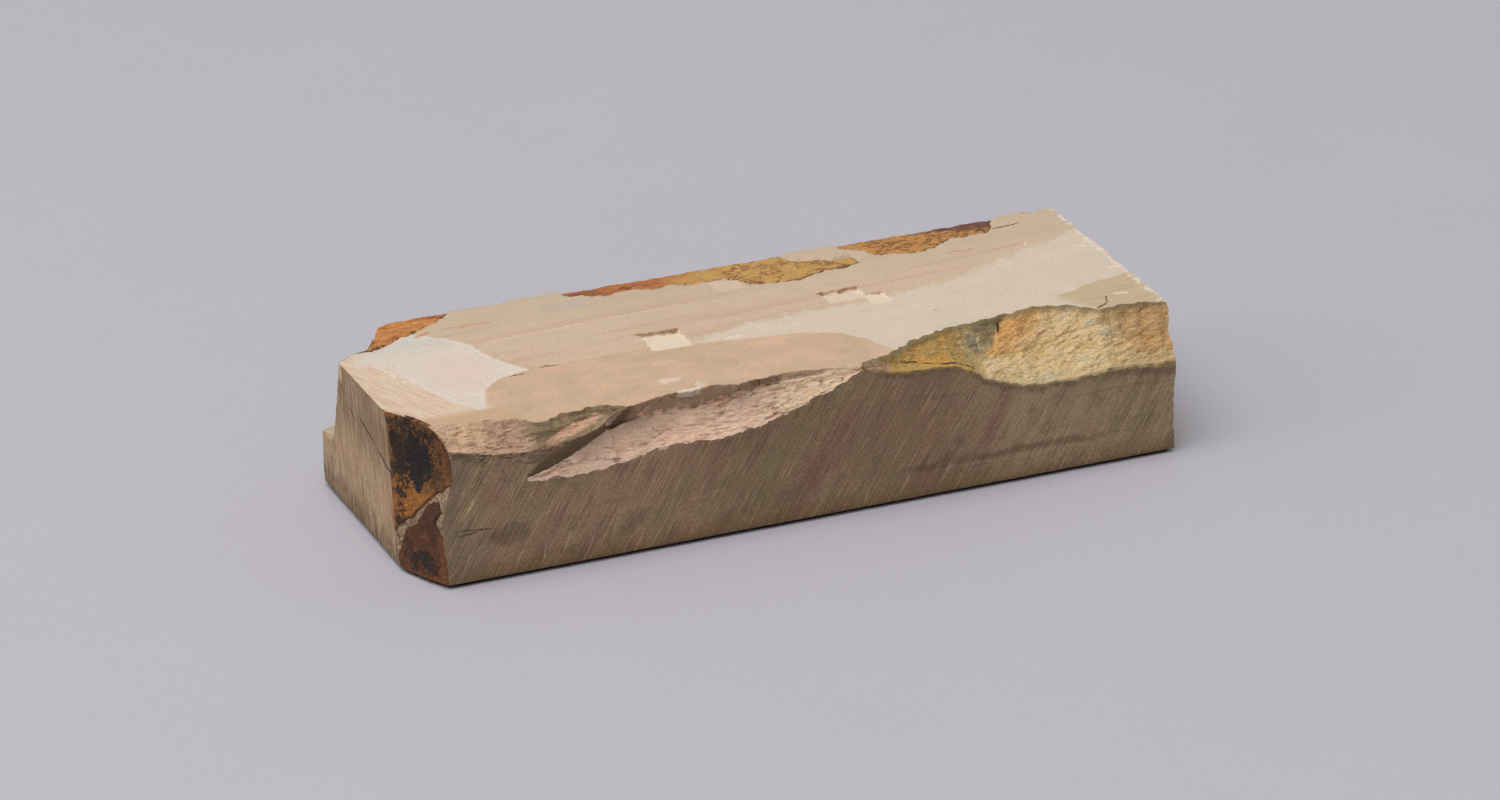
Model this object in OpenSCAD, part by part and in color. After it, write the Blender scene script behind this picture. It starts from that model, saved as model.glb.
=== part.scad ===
// A natural sharpening whetstone: one quarried block with sawn faces, broken edges,
// and the iron-stained natural skins that still cling to it.
// +X runs along the stone, +Y to the back, +Z up. The origin is the centre of the base.

/* [Block] */
// Length from end to end
stone_length = 205; // [190:1:215]
// Width from the sawn front face to the back
stone_width = 73; // [68:1:78]
// Height from the base to the working face
stone_height = 39.5; // [36:0.5:44]
// How far the sawn left end leans out of square across the width
end_lean = 2.5; // [1:0.5:3]

/* [Natural surfaces] */
// Thickness of each natural skin
skin_thickness = 0.6; // [0.5:0.1:0.9]
// Fall of the natural surface towards the back edge, in degrees
rear_fall = 2.5; // [1.5:0.5:3.5]
// How ragged the rims of the skins are, as a share of each side
raggedness = 0.16; // [0:0.02:0.2]
// Relief of the broken right end
right_end_relief = 1.4; // [0:0.2:2]
// Relief of the natural back
back_relief = 1.6; // [0:0.2:2]

/* [Working face] */
// Depth of the quarryman's chisel marks
chisel_depth = 1.1; // [0.6:0.1:1.4]

/* [Hidden] */

// The outlines below are drawn on a block of this size, and stretched to the one asked for.
drawn_size = [205, 73, 39.5];
stretch = [stone_length / drawn_size.x, stone_width / drawn_size.y, stone_height / drawn_size.z];
front_y = -36.5;
back_y = 36.5;
right_x = 102.5;
left_x = -102.5;
top_z = 39.5;
outside = 8;

// Edge of the break at the front left: [x, y on the working face, z on the front face]
left_break_rim = [
    [-98.6, -30.0, 39.4], [-95.4, -26.2, 38.0], [-92, -26.9, 36.8], [-88, -27.5, 35.8], [-82, -28.8, 34.4],
    [-76, -29.6, 33.5], [-71, -32.4, 33.3], [-67, -35.0, 33.6], [-62, -32.0, 34.1],
    [-57, -32.0, 35.0], [-52, -31.2, 37.2], [-47, -32.4, 39.0], [-44, -35.8, 39.4],
];

// Edge of the shell-shaped break in the middle, with its deepest crease:
// [x, [y, z] of the upper rim, [y, z] of the crease, z of the lower rim]
middle_break_rim = [
    [-74, [-37.4, 27.6], [-37.6, 26.3], 25.8],
    [-67, [-36.5, 32.6], [-35.8, 27.0], 25.2],
    [-62, [-36.5, 34.0], [-35.0, 28.6], 25.0],
    [-56, [-36.5, 35.4], [-34.1, 31.0], 24.6],
    [-51, [-36.4, 37.6], [-33.2, 33.2], 25.6],
    [-46, [-35.0, 39.5], [-32.5, 34.8], 26.0],
    [-40, [-33.0, 39.5], [-32.1, 35.2], 27.0],
    [-34, [-31.8, 39.5], [-31.6, 34.8], 27.6],
    [-28, [-32.0, 39.5], [-31.8, 34.6], 27.4],
    [-22, [-31.4, 39.5], [-31.8, 34.4], 27.2],
    [-16, [-33.6, 39.5], [-32.6, 34.2], 27.6],
    [-10, [-32.4, 39.5], [-32.8, 35.0], 28.6],
    [-4, [-31.6, 39.5], [-33.0, 36.0], 30.8],
    [2, [-32.4, 39.5], [-33.8, 37.0], 32.8],
    [8, [-33.6, 39.5], [-34.8, 37.8], 34.8],
    [12, [-34.8, 39.5], [-35.6, 38.6], 37.4],
    [15, [-35.8, 39.5], [-36.2, 39.2], 38.6],
];

// Edge of the natural surface at the front right: [x, y on the working face, z on the front face]
front_natural_rim = [
    [14, -36.0, 38.8], [20, -33.6, 38.2], [25, -31.8, 36.0], [32, -28.6, 36.2], [39, -25.6, 35.8],
    [44, -24.4, 34.0], [49, -23.4, 30.4], [55, -23.0, 28.2], [62, -21.8, 26.4], [70, -20.6, 26.0],
    [76, -22.0, 26.2], [81, -26.0, 26.8], [85, -29.4, 27.0], [89, -27.8, 26.8], [94, -28.0, 26.2],
    [99, -30.4, 25.8], [108, -31.0, 25.4],
];

// The natural joint plane across the front left corner, level by level:
// [z, y where it leaves the left end, x where it meets the front face, how far it is hollowed]
corner_rim = [
    [-1, -24.0, -93.3, -0.6], [6, -21.6, -94.0, -0.3], [12, -20.4, -94.8, 0], [18, -20.2, -95.0, 0.3],
    [24, -19.4, -93.6, 0.8], [29, -18.4, -91.8, 1.5], [34, -17.8, -92.2, 1.9], [37.5, -16.6, -93.0, 2.3],
    [40.5, -14.6, -94.4, 2.5],
];

// The corner's own axes: a point on the joint plane, and the way along it from left to right
corner_middle = [-97, -27];
corner_along = [0.371, -0.929];
corner_out = [-0.929, -0.371];

// Rims of the two corner skins, as [along the joint plane, up]
upper_skin_rim = [
    [-14, 42], [-11.4, 36.7], [-10.8, 30], [-10.2, 22], [-9.8, 14], [-9, 9.6], [-6.4, 12], [-2.4, 15],
    [-0.2, 17], [1.8, 20.4], [5.2, 24], [8.4, 27], [12, 28.8], [14, 34], [14, 42],
];
lower_skin_rim = [
    [5.4, 21.4], [7.8, 21.2], [8.2, 18], [7.2, 15], [8.2, 12.4], [9.2, 7], [10.4, 2], [12, -2],
    [-7, -2], [-6, 2.4], [-3.6, 7], [-2.8, 12], [-0.4, 13.8], [1.8, 16.2], [3.4, 18.8],
];

// Rims of the three skins along the back edge, as [x, y]
rear_left_rim = [
    [-94, 19.8], [-90.5, 20.0], [-86.6, 21.6], [-82.6, 24.2], [-78.6, 25.6], [-74.5, 28.9],
    [-70.3, 32.1], [-66, 36], [-65, 42], [-98, 42], [-98, 20.4],
];
rear_middle_rim = [
    [-37, 35], [-30, 29.8], [-25.7, 28.6], [-20.8, 29.6], [-10, 27.8], [-4, 26.2], [-0.6, 27.4],
    [7.4, 26.4], [9, 20.4], [16.4, 18.6], [22.3, 19.4], [30.6, 21.6], [42.4, 23.4], [40, 27], [33, 28.6],
    [27, 31], [24, 34], [22, 42], [-37, 42],
];
rear_right_rim = [
    [39.6, 32.8], [45, 29.2], [47, 25.2], [54.5, 23], [58.9, 22.4], [65, 25.4], [71, 28],
    [78.9, 26.8], [81.4, 30.2], [83.6, 36], [84, 42], [40, 42],
];

// The corner broken off at the back left, which leaves a ledge low down: [x, y] outlines
rear_corner_upper = [
    [-112, 14.5], [-102.4, 14.5], [-98.5, 18.7], [-96, 20.1], [-93.1, 20.7], [-90.9, 24.1],
    [-86.1, 33.1], [-80, 37.5], [-78, 45], [-112, 45],
];
rear_corner_spread = 7;
ledge_z = 15.5;
ledge_y = 30;

// The chisel marks on the working face: [x, y of the deep end, width, run-out towards the front, turn]
chisel_marks = [
    [-22.8, 2.8, 10.6, 10.6, -3], [28.4, 8.4, 10.6, 7, 2], [36, 3.6, 5.8, 6.4, -4], [-28.6, -30.4, 6.2, 7.5, -6],
    [3.4, 26.6, 8, 7.4, 0]
];

function scaled(p) = [p.x * stretch.x, p.y * stretch.y, p.z * stretch.z];
function end_x(y) = left_x + end_lean * (ledge_y - y) / (ledge_y - front_y);
function between(a, b, t) = a + (b - a) * t;

// A closed outline whose sides are broken in the middle, again and again, as stone breaks.
function ragged(outline, rounds, seed) =
    rounds == 0 ? outline :
    let (n = len(outline), push = rands(-raggedness, raggedness, n, seed))
    ragged([for (i = [0:n - 1])
        let (a = outline[i], side = outline[(i + 1) % n] - a)
        each [a, a + side / 2 + push[i] * [-side.y, side.x]]], rounds - 1, seed + 1);

// A solid that joins a row of closed outlines. An outline's first point sees all its others.
module loft(rings) {
    n = len(rings[0]);
    last = (len(rings) - 1) * n;
    polyhedron(
        points = [for (ring = rings) each [for (p = ring) scaled(p)]],
        faces = [
            [for (j = [0:n - 1]) j],
            for (i = [0:len(rings) - 2], j = [0:n - 1])
                let (a = i * n + j, b = i * n + (j + 1) % n)
                each [[a, a + n, b], [b, a + n, b + n]],
            [for (j = [0:n - 1]) last + (n - j) % n],
        ]);
}

// One outline of a break along the front top edge, at x: its surface runs from the lower rim to the
// upper one through the curve's points, and the rest lies outside the block.
function edge_ring(x, upper, lower, curve) = [
    for (p = concat(
        [[front_y - outside, top_z + outside], [front_y - outside, lower.y]],
        [lower], curve, [upper])) [x, p.x, p.y]];

// Points of a hollow curve from one point to another, in the YZ plane.
function hollow(a, b, depth, n, seed) =
    let (wobble = rands(-0.35, 0.35, n, seed), inward = [0.7, -0.7])
    [for (i = [1:n - 1]) let (t = i / n)
        between(a, b, t) + (depth * sin(180 * t) + wobble[i]) * inward];

module left_break() {
    loft([for (r = left_break_rim)
        let (upper = [r.y, top_z], lower = [front_y, r.z])
        edge_ring(r.x, upper, lower, hollow(lower, upper, 0.5, 4, r.x))]);
}

module middle_break() {
    loft([for (r = middle_break_rim)
        let (upper = r[1], crease = r[2], lower = [front_y, r[3]])
        edge_ring(r.x, upper, lower,
            [between(lower, crease, 0.5) + [0.4, -0.4], crease, between(crease, upper, 0.45) + [0.25, 0]])]);
}

// What lies outside the natural surface at the front right, raised by `lift` from its bare stone.
module front_natural_face(lift) {
    start = skin_thickness * 0.7;
    rise = lift * 0.7 - start;
    translate([0, -rise, rise])
    loft([for (r = front_natural_rim)
        let (upper = [r.y, top_z], lower = [front_y, r.z], depth = min(2.4, 0.12 * norm(upper - lower)))
        edge_ring(r.x, upper, lower, hollow(lower, upper, depth, 5, r.x))]);
}

// What lies outside the joint plane across the front left corner, raised by `lift`.
module corner_natural_face(lift) {
    rise = lift - skin_thickness;
    translate([corner_out.x * rise, corner_out.y * rise, 0])
    loft([for (r = corner_rim)
        let (left = [end_x(r.y), r.y], right = [r.z, front_y],
             inward = -corner_out)
        [for (p = [[left_x - outside, front_y - outside], [right.x, front_y - outside], right,
                   for (t = [0.8, 0.6, 0.4, 0.2]) between(left, right, t) + inward * r[3] * sin(180 * t),
                   left, [left_x - outside, left.y]]) [p.x, p.y, r.x]]]);
}

// A prism square to the corner's joint plane, over the rim of a skin.
module corner_prism(rim, seed) {
    m = corner_middle;
    depth = 12;
    multmatrix([
        [corner_along.x, 0, corner_out.x, m.x * stretch.x],
        [corner_along.y, 0, corner_out.y, m.y * stretch.y],
        [0, 1, 0, 0],
        [0, 0, 0, 1]])
    translate([0, 0, -depth / 2])
    linear_extrude(depth) polygon([for (p = ragged(rim, 2, seed)) [p.x, p.y * stretch.z]]);
}

// A prism over the rim of a skin on the back edge.
module rear_prism(rim, seed) {
    translate([0, 0, stone_height - outside])
    linear_extrude(2 * outside) polygon([for (p = ragged(rim, 2, seed)) [p.x * stretch.x, p.y * stretch.y]]);
}

// Everything above the natural surface that falls away to the back from y, raised by `lift`.
module above_rear_fall(y, lift) {
    reach = stone_length * 2;
    translate([-reach / 2, y * stretch.y, stone_height - skin_thickness + lift])
    rotate([-rear_fall, 0, 0])
    translate([0, -reach / 2, 0]) cube([reach, reach, 20]);
}

// The broken corner at the back left: an upright face above, and a ledge left standing below.
module rear_corner_break() {
    module outline(spread) {
        polygon([for (p = rear_corner_upper) [(p.x - spread) * stretch.x, (p.y + spread) * stretch.y]]);
    }
    translate([0, 0, ledge_z * stretch.z]) linear_extrude(stone_height) outline(rear_corner_spread);
    loft([for (level = [[ledge_z, rear_corner_spread], [26, 4.2], [top_z + 1, 0]])
        [for (p = concat([[-112, 45]], [for (i = [0:len(rear_corner_upper) - 2]) rear_corner_upper[i]]))
            let (moves = p.x > -112 && p.y < 45 ? level[1] * 0.75 : 0) [p.x - moves * 0.4, p.y + moves, level[0]]]]);
    translate([0, 0, -1]) linear_extrude(stone_height)
        polygon([for (p = [[-112, ledge_y], [left_x, ledge_y], [-97, 33.2], [-90, 37.5], [-90, 45], [-112, 45]])
            [p.x * stretch.x, p.y * stretch.y]]);
}

// Depths to cut from a broken face, some of them none at all.
function relief(depth, n, seed) = [for (v = rands(-0.2, 1, n, seed)) max(0, v) * depth];

// Uneven relief cut from the broken right end.
module right_end_break() {
    ys = [-44, -33, -24, -14, -4, 7, 18, 28, 44];
    zs = [-2, 7, 15, 24, 32, 42];
    cut = relief(right_end_relief, len(ys) * len(zs), 5);
    loft([for (i = [0:len(ys) - 1])
        [for (p = concat([[right_x + outside, 20]], [[right_x + outside, zs[0]]],
            [for (k = [0:len(zs) - 1])
                [right_x - cut[i * len(zs) + k] - (zs[k] > 40 ? 1 : 0), zs[k]]],
            [[right_x + outside, zs[len(zs) - 1]]])) [p.x, ys[i], p.y]]]);
}

// Uneven relief cut from the natural back.
module back_face_relief() {
    xs = [-112, -92, -78, -63, -48, -34, -19, -5, 10, 24, 39, 53, 68, 82, 96, 112];
    zs = [-2, 6, 14, 22, 30, 42];
    cut = relief(back_relief, len(xs) * len(zs), 9);
    loft([for (i = [0:len(xs) - 1])
        [for (p = concat([[back_y + outside, 20]], [[back_y + outside, zs[len(zs) - 1]]],
            [for (k = [len(zs) - 1:-1:0]) [back_y - cut[i * len(zs) + k], zs[k]]],
            [[back_y + outside, zs[0]]])) [xs[i], p.x, p.y]]]);
}

// One slanting cut of a chisel: deep at the back, running out towards the front.
module chisel_mark(x, y, width, run, turn) {
    translate([x * stretch.x, y * stretch.y, stone_height])
    rotate([90, 0, 90 + turn])
    linear_extrude(width, center = true)
        polygon([[0.4, 0.6], [0, -chisel_depth], [-run, 0.05], [-run, 0.6]]);
}

// The block as sawn and broken, before its natural surfaces and chipped edges.
module block() {
    difference() {
        linear_extrude(stone_height) polygon([
            [end_x(front_y) * stretch.x, front_y * stretch.y], [right_x * stretch.x, front_y * stretch.y],
            [right_x * stretch.x, back_y * stretch.y], [end_x(back_y) * stretch.x, back_y * stretch.y]]);
        rear_corner_break();
        right_end_break();
        back_face_relief();
    }
}

module stone() {
    color([0.72, 0.62, 0.5]) difference() {
        block();
        left_break();
        middle_break();
        front_natural_face(0);
        corner_natural_face(0);
        intersection() { rear_prism(rear_left_rim, 21); above_rear_fall(20, 0); }
        intersection() { rear_prism(rear_middle_rim, 31); above_rear_fall(18, 0); }
        intersection() { rear_prism(rear_right_rim, 41); above_rear_fall(22, 0); }
        for (m = chisel_marks) chisel_mark(m[0], m[1], m[2], m[3], m[4]);
    }
}

module corner_skin_upper() {
    color([0.28, 0.15, 0.06]) difference() {
        intersection() { block(); corner_natural_face(0); corner_prism(upper_skin_rim, 11); }
        corner_natural_face(skin_thickness);
        left_break();
    }
}

module corner_skin_lower() {
    color([0.35, 0.18, 0.09]) difference() {
        intersection() { block(); corner_natural_face(0); corner_prism(lower_skin_rim, 17); }
        corner_natural_face(skin_thickness);
    }
}

module front_skin() {
    color([0.74, 0.6, 0.34]) difference() {
        intersection() { block(); front_natural_face(0); }
        front_natural_face(skin_thickness);
        middle_break();
    }
}

// A skin on the back edge, over its rim, lying on the natural surface that falls away from y.
module rear_skin(rim, seed, y) {
    difference() {
        intersection() { block(); rear_prism(rim, seed); above_rear_fall(y, 0); }
        above_rear_fall(y, skin_thickness);
    }
}

module rear_skin_left() {
    color([0.8, 0.45, 0.16]) rear_skin(rear_left_rim, 21, 20);
}

module rear_skin_middle() {
    color([0.76, 0.5, 0.2]) difference() {
        rear_skin(rear_middle_rim, 31, 18);
        for (m = chisel_marks) chisel_mark(m[0], m[1], m[2], m[3], m[4]);
    }
}

module rear_skin_right() {
    color([0.66, 0.38, 0.16]) rear_skin(rear_right_rim, 41, 22);
}

stone();
corner_skin_upper();
corner_skin_lower();
front_skin();
rear_skin_left();
rear_skin_middle();
rear_skin_right();
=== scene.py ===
"""A natural whetstone: one quarried block with sawn faces, broken edges and iron-stained natural skins.

Lengths are millimetres in the row frame until a mesh is made, and metres after that.
"""

import math

import bpy
import numpy as np
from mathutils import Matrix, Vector


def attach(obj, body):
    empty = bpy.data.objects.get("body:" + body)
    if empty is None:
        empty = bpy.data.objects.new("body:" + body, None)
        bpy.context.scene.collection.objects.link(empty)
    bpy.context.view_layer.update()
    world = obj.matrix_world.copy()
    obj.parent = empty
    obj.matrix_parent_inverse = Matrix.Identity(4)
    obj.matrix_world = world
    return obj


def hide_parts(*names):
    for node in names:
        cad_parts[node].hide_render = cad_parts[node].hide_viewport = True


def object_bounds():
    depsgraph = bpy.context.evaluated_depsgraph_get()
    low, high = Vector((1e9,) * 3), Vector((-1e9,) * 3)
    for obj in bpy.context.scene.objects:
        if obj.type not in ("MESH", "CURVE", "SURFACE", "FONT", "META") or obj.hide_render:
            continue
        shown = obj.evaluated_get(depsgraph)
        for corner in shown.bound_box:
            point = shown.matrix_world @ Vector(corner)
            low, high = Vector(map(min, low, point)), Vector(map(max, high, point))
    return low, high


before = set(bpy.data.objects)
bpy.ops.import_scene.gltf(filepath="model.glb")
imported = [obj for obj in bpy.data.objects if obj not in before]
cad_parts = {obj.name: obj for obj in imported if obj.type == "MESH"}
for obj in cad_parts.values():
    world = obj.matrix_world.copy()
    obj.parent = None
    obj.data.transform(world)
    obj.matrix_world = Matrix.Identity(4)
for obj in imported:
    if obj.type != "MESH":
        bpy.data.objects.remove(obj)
cad_low, cad_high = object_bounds()

MM = 0.001
LEFT, FRONT, _ = (round(float(c) / MM, 1) for c in cad_low)
RIGHT, BACK, TOP = (round(float(c) / MM, 1) for c in cad_high)
SKIN = 0.6  # thickness of the natural skins
DIAGONAL = math.sqrt(2)
END_LEAN, LEAN_START = 2.5, 30  # the sawn left end comes in by END_LEAN from y = LEAN_START to the front face
REAR_SLOPE = 0.0437  # how steeply the natural surface falls away along the back edge
SHARP_ANGLE = math.radians(38)  # edges sharper than this stay crisp


# ---------------------------------------------------------------- noise


def hashed(ix, iy, iz, seed):
    """A fixed random number from -1 to 1 for each point of a whole-number lattice."""
    h = ix.astype(np.uint32) * np.uint32(73856093)
    h = h ^ (iy.astype(np.uint32) * np.uint32(19349663))
    h = h ^ (iz.astype(np.uint32) * np.uint32(83492791)) ^ np.uint32(seed * 40503 + 977)
    h = (h ^ (h >> np.uint32(13))) * np.uint32(1274126177)
    h = (h ^ (h >> np.uint32(15))) * np.uint32(2246822519)
    return (h ^ (h >> np.uint32(16))).astype(float) / 2**31 - 1


def noise(x, y, size, seed, z=None):
    """Smooth noise from -1 to 1, with features about `size` across."""
    shape = np.broadcast(x, y).shape
    parts = [np.broadcast_to(c, shape) / size for c in (x, y, 0.0 if z is None else z)]
    cell = [np.floor(c).astype(np.int64) for c in parts]
    ease = [t * t * t * (t * (t * 6 - 15) + 10) for t in (c - f for c, f in zip(parts, cell))]
    total = np.zeros(shape)
    for dx in (0, 1):
        for dy in (0, 1):
            for dz in (0, 1) if z is not None else (0,):
                weight = (ease[0] if dx else 1 - ease[0]) * (ease[1] if dy else 1 - ease[1])
                if z is not None:
                    weight = weight * (ease[2] if dz else 1 - ease[2])
                total += weight * hashed(cell[0] + dx, cell[1] + dy, cell[2] + dz, seed)
    return total


def fractal(x, y, size, seed, octaves=4, gain=0.5, z=None):
    """Layers of noise, each half the size of the last."""
    return sum(gain**k * noise(x, y, size / 2**k, seed + k, z) for k in range(octaves))


def near_cells(x, y, size, seed):
    """For each point, its offset from each of nine scattered centres near it, and their random numbers."""
    cx, cy = np.floor(x / size).astype(np.int64), np.floor(y / size).astype(np.int64)
    zero = np.zeros_like(cx)
    for i in (-1, 0, 1):
        for j in (-1, 0, 1):
            ix, iy = cx + i, cy + j
            jitter = [hashed(ix, iy, zero + k, seed) * 0.45 for k in (0, 1)]
            dx, dy = x - (ix + 0.5 + jitter[0]) * size, y - (iy + 0.5 + jitter[1]) * size
            yield dx, dy, [hashed(ix, iy, zero + k, seed) for k in (2, 3, 4)]


def scoops(x, y, size, seed):
    """Depth of overlapping shell-shaped flake scars, from about 0 to 1."""
    best = np.full(np.shape(x), -9.0)
    for dx, dy, r in near_cells(x, y, size, seed):
        best = np.maximum(best, 0.55 + 0.35 * r[0] - (dx**2 + dy**2) / size**2)
    return best


def facets(x, y, size, seed):
    """Heights of tilted facets with small cliffs between them, from about -1 to 1."""
    nearest, height = np.full(np.shape(x), 1e9), np.zeros(np.shape(x))
    for dx, dy, r in near_cells(x, y, size, seed):
        far = dx**2 + dy**2
        closer = far < nearest
        nearest = np.where(closer, far, nearest)
        height = np.where(closer, 0.45 * r[0] + 0.9 * (r[1] * dx + r[2] * dy) / size, height)
    return height


def grains(x, y, size, seed):
    """Rounded grains packed side by side, from 0 between them to 1 on top."""
    nearest = np.full(np.shape(x), 1e9)
    for dx, dy, _ in near_cells(x, y, size, seed):
        nearest = np.minimum(nearest, dx**2 + dy**2)
    return 1 - np.sqrt(nearest) / size


def ramp(value, low, high):
    """0 below low, 1 above high, and smooth between them."""
    t = np.clip((value - low) / (high - low), 0, 1)
    return t * t * (3 - 2 * t)


def terraces(value, step):
    """Turns a smooth slope into treads with steep risers, as bedded rock breaks."""
    tread = np.floor(value / step)
    part = value / step - tread
    return step * (tread + 0.25 * part + 0.75 * ramp(part, 0.72, 1.0))


# ---------------------------------------------------------------- the stone's outlines


def along(points, soft=0):
    """A function of x that runs through these points, or eases round them."""
    x, *values = zip(*points)
    return lambda q: [
        sum(np.interp(q + shift * soft, x, v) for shift in (-1, -0.5, 0, 0.5, 1)) / 5 for v in values]


# [x, how far in from the front face on top, how far down from the top on the front]
left_break = along(
    [
        (-99, 5, -3), (-95.4, 10.3, 1.5), (-92, 9.6, 2.8), (-88, 9, 3.8), (-82, 7.7, 5.2), (-76, 7.2, 6.1),
        (-71, 4.4, 6.3), (-67.5, 1.3, 6.0), (-65, 2.9, 5.8), (-62, 4.6, 5.4), (-57, 4.4, 4.6),
        (-52, 5.4, 2.6), (-47, 3.8, 0.6), (-43.5, 0.4, -2), (-42, -3, -3),
    ])
# [x, upper rim in, upper rim down, crease in, crease down, lower rim down]
middle_break = along(
    [
        (-76, -0.6, 12.4, -0.6, 13.4, 14.0), (-72, -0.2, 11.8, 0.2, 13.4, 14.3),
        (-67, 0, 7.2, 0.9, 12.4, 14.4), (-62, 0, 5.6, 1.7, 11.0, 14.8), (-56, 0.1, 4.2, 2.6, 8.6, 15.1),
        (-51, 0.4, 2.2, 3.6, 6.4, 14.0), (-46, 1.8, 0, 4.2, 4.9, 13.5), (-40, 3.4, 0, 4.5, 4.5, 12.5),
        (-34, 4.7, 0, 4.9, 4.7, 11.9), (-28, 4.4, 0, 4.7, 4.9, 12.1), (-22, 5.1, 0, 4.7, 4.6, 12.3),
        (-16, 3.0, 0, 3.9, 3.8, 11.9), (-10, 4.0, 0, 4.3, 2.7, 10.9), (-4, 4.9, 0, 4.7, 2.0, 8.7),
        (2, 4.1, 0, 3.8, 1.6, 6.7), (8, 3.0, 0, 2.5, 1.2, 4.7), (12, 1.8, 0, 1.4, 0.7, 2.3),
        (15, 0.8, 0, 0.3, 0.3, 0.9), (17, -2, 0, -2, 0, -2),
    ])
# [x, upper rim in, lower rim down]
natural_front = along(
    [
        (12, -2, -2), (14, 0.6, 0.8), (20, 2.9, 1.5), (25, 4.8, 3.5), (32, 7.9, 3.3), (39, 10.9, 3.7),
        (44, 12.1, 5.5), (49, 13.1, 9.1), (55, 13.5, 11.3), (62, 14.7, 13.1), (70, 15.9, 13.5),
        (76, 14.5, 13.3), (81, 10.5, 12.7), (85, 7.1, 12.5), (89, 8.7, 12.7), (94, 8.5, 13.3),
        (99, 6.1, 13.7), (108, 5.5, 14.1),
    ],
    soft=3)
# Across the front left corner: [z, y at the left end, x at the front face, hollow]
corner_levels = along(
    [
        (-1, -24.0, -93.3, -0.6), (6, -21.6, -94.0, -0.3), (12, -20.4, -94.8, 0), (18, -20.2, -95.0, 0.3),
        (24, -19.4, -93.6, 0.8), (29, -18.4, -91.8, 1.5), (34, -17.8, -92.2, 1.9),
        (37.5, -16.6, -93.0, 2.3), (40.5, -14.6, -94.4, 2.5),
    ])
CORNER = np.array([-97.0, -27.0])
CORNER_ALONG = np.array([0.371, -0.929])
CORNER_OUT = np.array([-0.929, -0.371])
# The broken back left corner, along and out from its own middle: above the ledge, and below it
REAR_CORNER = np.array([-95.0, 22.0])
REAR_ALONG = np.array([0.77, 0.638])
REAR_OUT = np.array([-0.638, 0.77])
rear_corner_above = along(
    [
        (-30, -17), (-11.9, -0.8), (-8.9, 0.0), (-4.8, -0.3), (-2, -0.8), (0.6, -2.2), (4.5, -1), (14, 2.9),
        (20.1, 1.2), (26, -4), (40, -18),
    ])
rear_corner_below = along([(-30, 40), (-0.7, 11.0), (5.6, 9.9), (13.1, 8.0), (16, 4.9), (40, -16)])
LEDGE = 15.5

UPPER_SKIN = [
    (-15, 44), (-15, 9), (-9.4, 8.6), (-7.4, 11.4), (-4.2, 13.6), (-1.4, 15.6), (0.8, 18.4), (3, 21.6),
    (6.2, 24.6), (9.6, 27.6), (15, 29), (15, 44),
]
LOWER_SKIN = [
    (5.0, 22.2), (7.2, 22.6), (8.2, 20.2), (7.6, 17.4), (9.0, 14.8), (15, 13.2), (15, -3), (-9.6, -3),
    (-8.0, 2.0), (-6.4, 5.0), (-6.0, 8.6), (-5.0, 11.0), (-2.0, 13.8), (0.4, 16.6), (2.4, 19.6),
]
REAR_LEFT = [
    (-94, 19.8), (-90.5, 20.0), (-86.6, 21.6), (-82.6, 24.2), (-78.6, 25.6), (-74.5, 28.9), (-70.3, 32.1),
    (-66, 36), (-65, 42), (-98, 42), (-98, 20.4),
]
REAR_MIDDLE = [
    (-37, 35), (-30, 29.8), (-25.7, 28.6), (-20.8, 29.6), (-10, 27.8), (-4, 26.2), (-0.6, 27.4),
    (7.4, 26.4), (9, 20.4), (16.4, 18.6), (22.3, 19.4), (30.6, 21.6), (42.4, 23.4), (40, 27), (33, 28.6),
    (27, 31), (24, 34), (22, 42), (-37, 42),
]
REAR_RIGHT = [
    (39.6, 32.8), (45, 29.2), (47, 25.2), (54.5, 23), (58.9, 22.4), (65, 25.4), (71, 28), (78.9, 26.8),
    (81.4, 30.2), (83.6, 36), (84, 42), (40, 42),
]
LEAF = [
    (-99.2, 14.5), (-95.8, 19.8), (-90.3, 22.8), (-80.4, 24.8), (-74.1, 20.3), (-68.7, 13.5), (-66.6, 4.9),
    (-60.2, -6), (-68.6, -7.4), (-73.9, -12.6), (-77.8, -22), (-79.4, -22.6), (-84.1, -15.5), (-87, -8.4),
    (-90.2, 0.9), (-93.2, 6.9), (-96, 10),
]


def inside(px, py, outline):
    """Distance to an outline, above 0 inside it."""
    best, winding = np.full(np.shape(px), 1e9), np.zeros(np.shape(px), bool)
    for (ax, ay), (bx, by) in zip(outline, outline[1:] + outline[:1]):
        ex, ey = bx - ax, by - ay
        t = np.clip(((px - ax) * ex + (py - ay) * ey) / (ex * ex + ey * ey), 0, 1)
        best = np.minimum(best, np.hypot(px - ax - t * ex, py - ay - t * ey))
        if ey:
            crosses = ((ay > py) != (by > py)) & (px < ex * (py - ay) / ey + ax)
            winding ^= crosses
    return np.where(winding, best, -best)


def ragged_inside(px, py, outline, seed, amount=1.0):
    """The same, for a rim broken the way a mineral skin flakes off."""
    wx = amount * (0.9 * noise(px, py, 4.5, seed) + 0.45 * noise(px, py, 1.6, seed + 1))
    wy = amount * (0.9 * noise(px, py, 4.5, seed + 2) + 0.45 * noise(px, py, 1.6, seed + 3))
    return inside(px + wx, py + wy, outline)


def end_x(y):
    """The sawn left end leans a little across the stone's width."""
    return LEFT + END_LEAN * (LEAN_START - y) / (LEAN_START - FRONT)


def to_edge(y, z):
    """A point's place across the front top edge, from front to top, and its depth in from that edge."""
    in_from_front, down = y - FRONT, TOP - z
    return in_from_front - down, in_from_front + down


def from_edge(s, m):
    """The y and z of a point at this place across the front top edge and at this depth."""
    return FRONT + (m + s) / 2, TOP - (m - s) / 2


# ---------------------------------------------------------------- the stone's surfaces


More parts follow.
